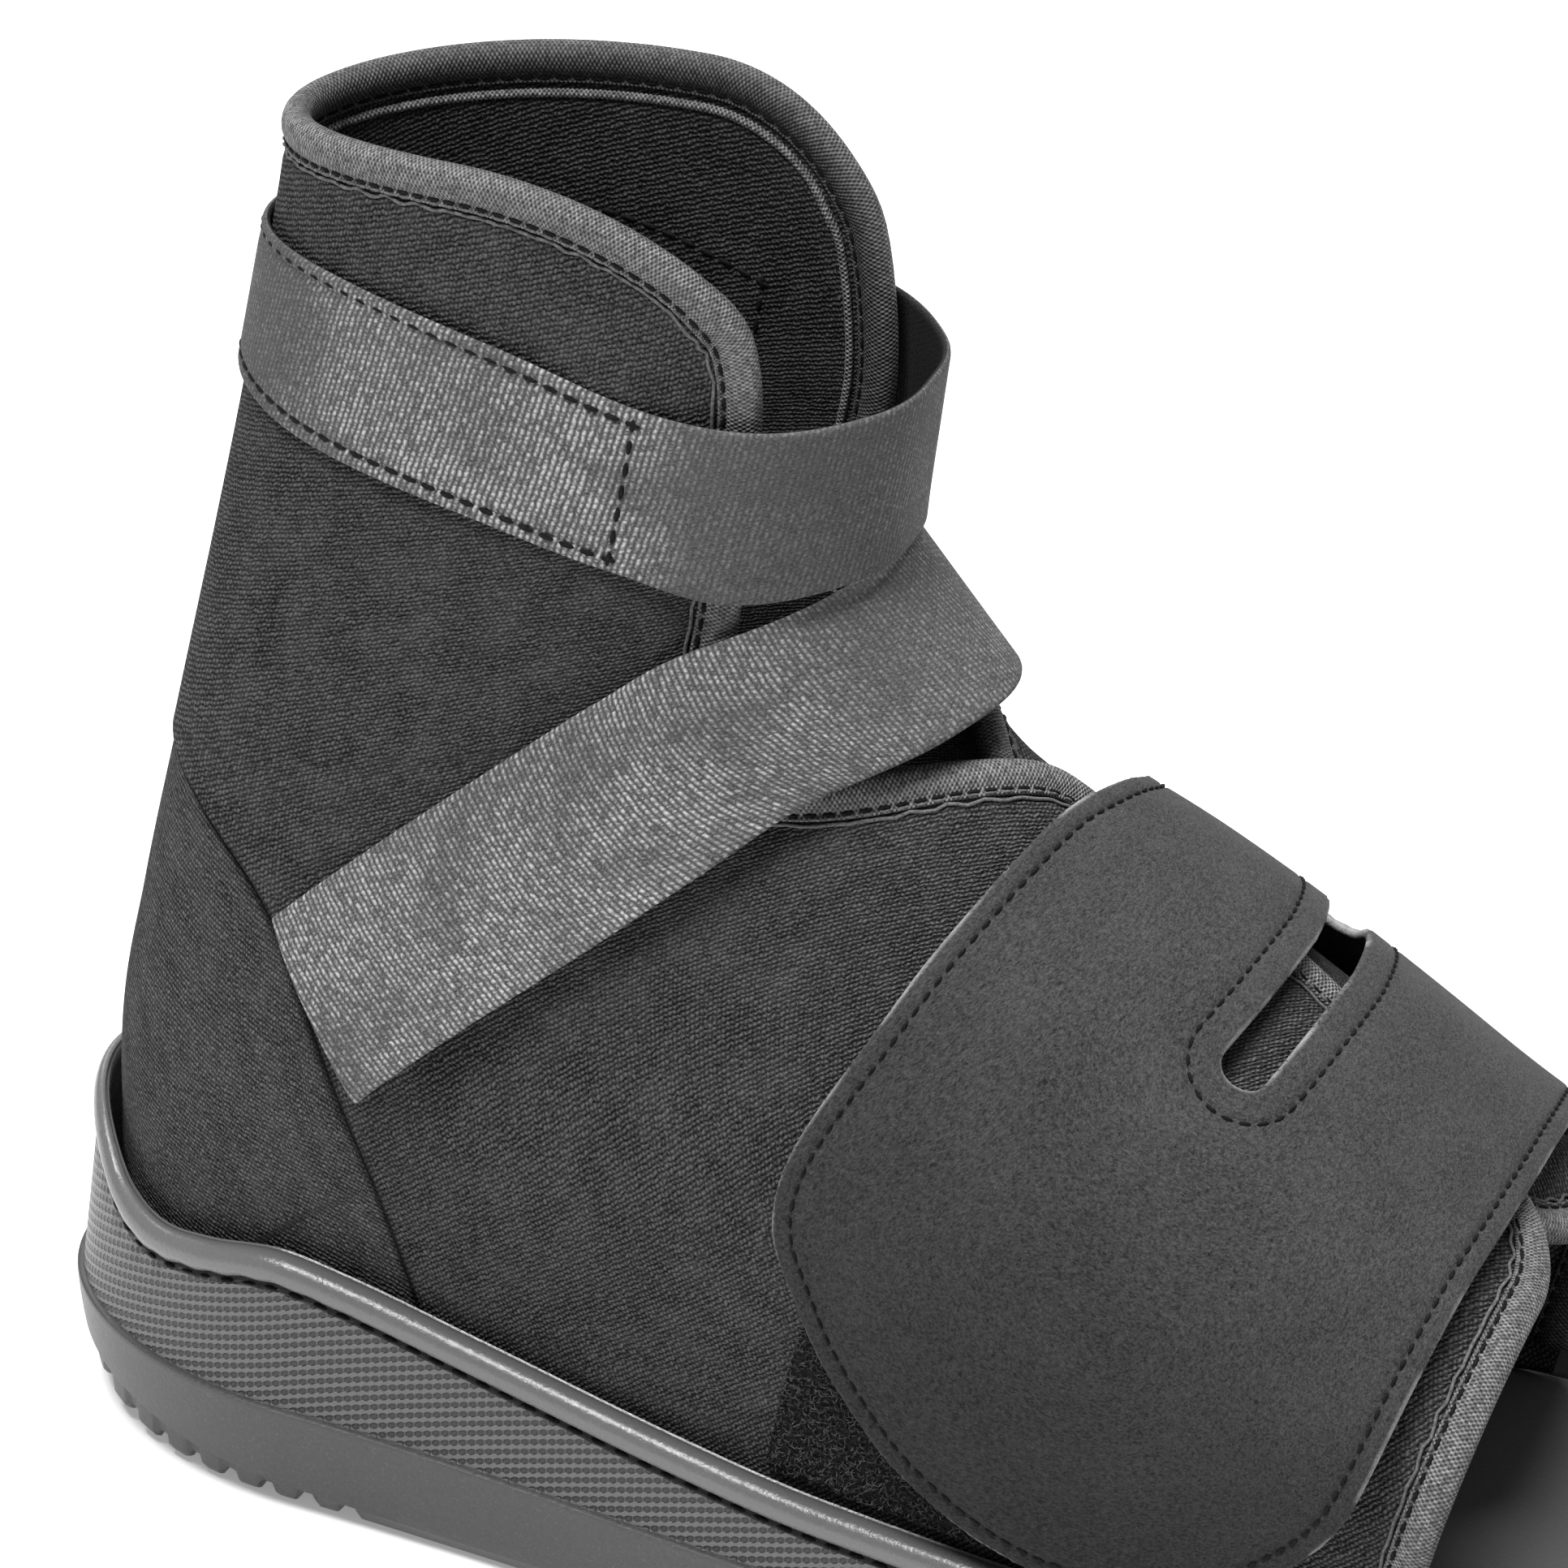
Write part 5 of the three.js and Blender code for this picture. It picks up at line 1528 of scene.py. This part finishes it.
def nearest(places, lines):
    """Distance over the cloth from places to the nearest point of some lines."""
    points = hoop(*places.T, **FLAP_FORM)
    marks = np.concatenate([hoop(*line.T, **FLAP_FORM) for line in lines])
    batches = [points[k:k + 400, None] for k in range(0, len(points), 400)]
    return np.concatenate([np.linalg.norm(batch - marks, axis=-1).min(1) for batch in batches])


def inside(places, line):
    x, y = places.T
    a, b = line, np.roll(line, -1, 0)
    span = (a[:, 1] > y[:, None]) != (b[:, 1] > y[:, None])
    with np.errstate(divide="ignore", invalid="ignore"):
        cut = a[:, 0] + (y[:, None] - a[:, 1]) / (b[:, 1] - a[:, 1]) * (b[:, 0] - a[:, 0])
    return (span & (x[:, None] < cut)).sum(1) % 2 == 1


OUTLINE_SEWN_IN, SLOT_SEWN_IN = 3.2, 5.4
flap_sewing = ring_beside(outline, OUTLINE_SEWN_IN)
slot_sewing = ring_beside(slot, SLOT_SEWN_IN, outside=True)
print("sewing lies", nearest(flap_sewing, [outline]).min().round(2), "mm or more inside the edge")

# %% Forefoot flap
OUTLINE_RINGS = 0.18, 0.5, 1.0, 1.7, 2.4, 2.85, OUTLINE_SEWN_IN, 3.55, 4.0, 5.0
SLOT_RINGS = 0.18, 0.5, 1.0, 1.7, 3.0, 4.2, 4.9, SLOT_SEWN_IN, 5.9, 6.6


def flap_points():
    """Places for the flap's corners: the lines, rings beside them and a field between."""
    rings = [ring_beside(outline, d) for d in OUTLINE_RINGS]
    rings += [ring_beside(slot, d, True) for d in SLOT_RINGS]
    ring = np.concatenate(rings)
    want = np.repeat(OUTLINE_RINGS + SLOT_RINGS, [len(r) for r in rings])
    own = nearest(ring, [outline, slot])
    ring = ring[own > 0.82 * want]
    at, turn = np.meshgrid(np.arange(8.6, 13.9, 0.11), np.arange(58, 299, 2.0), indexing="ij")
    field = np.stack([at.ravel(), turn.ravel() + 1.15 * (np.arange(at.size) // at.shape[1] % 2)], 1)
    field = field[inside(field, outline) & ~inside(field, slot)]
    field = field[(nearest(field, [outline]) > 5.8) & (nearest(field, [slot]) > 7.4)]
    return np.concatenate([outline, slot, ring, field])


def forefoot_flap_piece():
    places = flap_points()
    loops = [np.arange(len(outline)), np.arange(len(slot)) + len(outline)]
    edges = [(int(a), int(b)) for loop in loops for a, b in zip(loop, np.roll(loop, -1))]
    made = delaunay_2d_cdt([Vector(p) for p in places * FLAT], edges, [], 0, 1e-7)
    places = np.array([list(v) for v in made[0]]) / FLAT
    faces = np.array([list(f) for f in made[2]])
    centre = places[faces].mean(1)
    faces = faces[inside(centre, outline) & ~inside(centre, slot)]
    used, faces = np.unique(faces, return_inverse=True)
    places, faces = places[used], faces.reshape(-1, 3)
    at, turn = places.T
    edge = nearest(places, [outline, slot])
    sewn = nearest(places, [flap_sewing, slot_sewing])
    dent = -0.4 * np.exp(-(sewn / 0.5) ** 2)
    ragged = 0.12 * np.sin(turn * 7.1) * np.sin(at * 41.0) * (edge < 0.6)
    half = FLAP_HALF * round_edge(edge, 0.9)
    outer = skin(at, turn, -FLAP_HALF + half + dent + ragged, **FLAP_FORM)
    inner = skin(at, turn, -FLAP_HALF - half, **FLAP_FORM)
    cloth = np.stack([turn * 1.05, at * 24.0, edge], -1)
    return make_sheet("napped_flap", outer, inner, cloth, [faces], brushed, "brushed_cloth", "forefoot_flap")


forefoot_flap = forefoot_flap_piece()
print("flap area, mm2:", round(half_area(forefoot_flap) * 1e6))

# %% Sewing of the flap
def flap_line(line):
    closed = np.concatenate([line, line[:1]])
    return skin(*closed.T, np.full(len(closed), -0.2), **FLAP_FORM), outward(*closed.T, **FLAP_FORM)


flap_stitches = sew("flap_stitches", [flap_line(flap_sewing), flap_line(slot_sewing)], FLAP_STITCH,
                    "brushed_cloth")

# %% [markdown]
# ## Cloth areas
# The last three sheets print their areas. The sizes that they were cut to, an estimate, are listed
# with them but not used.

# %% Areas of the sheets
for piece, flat, area in ((heel_counter, (0.12, 0.19), 0.0131), (quarter_right, (0.26, 0.30), 0.0335),
                          (quarter_left, (0.26, 0.30), 0.0333)):
    print(piece.name, "area, mm2:", round(half_area(piece) * 1e6))
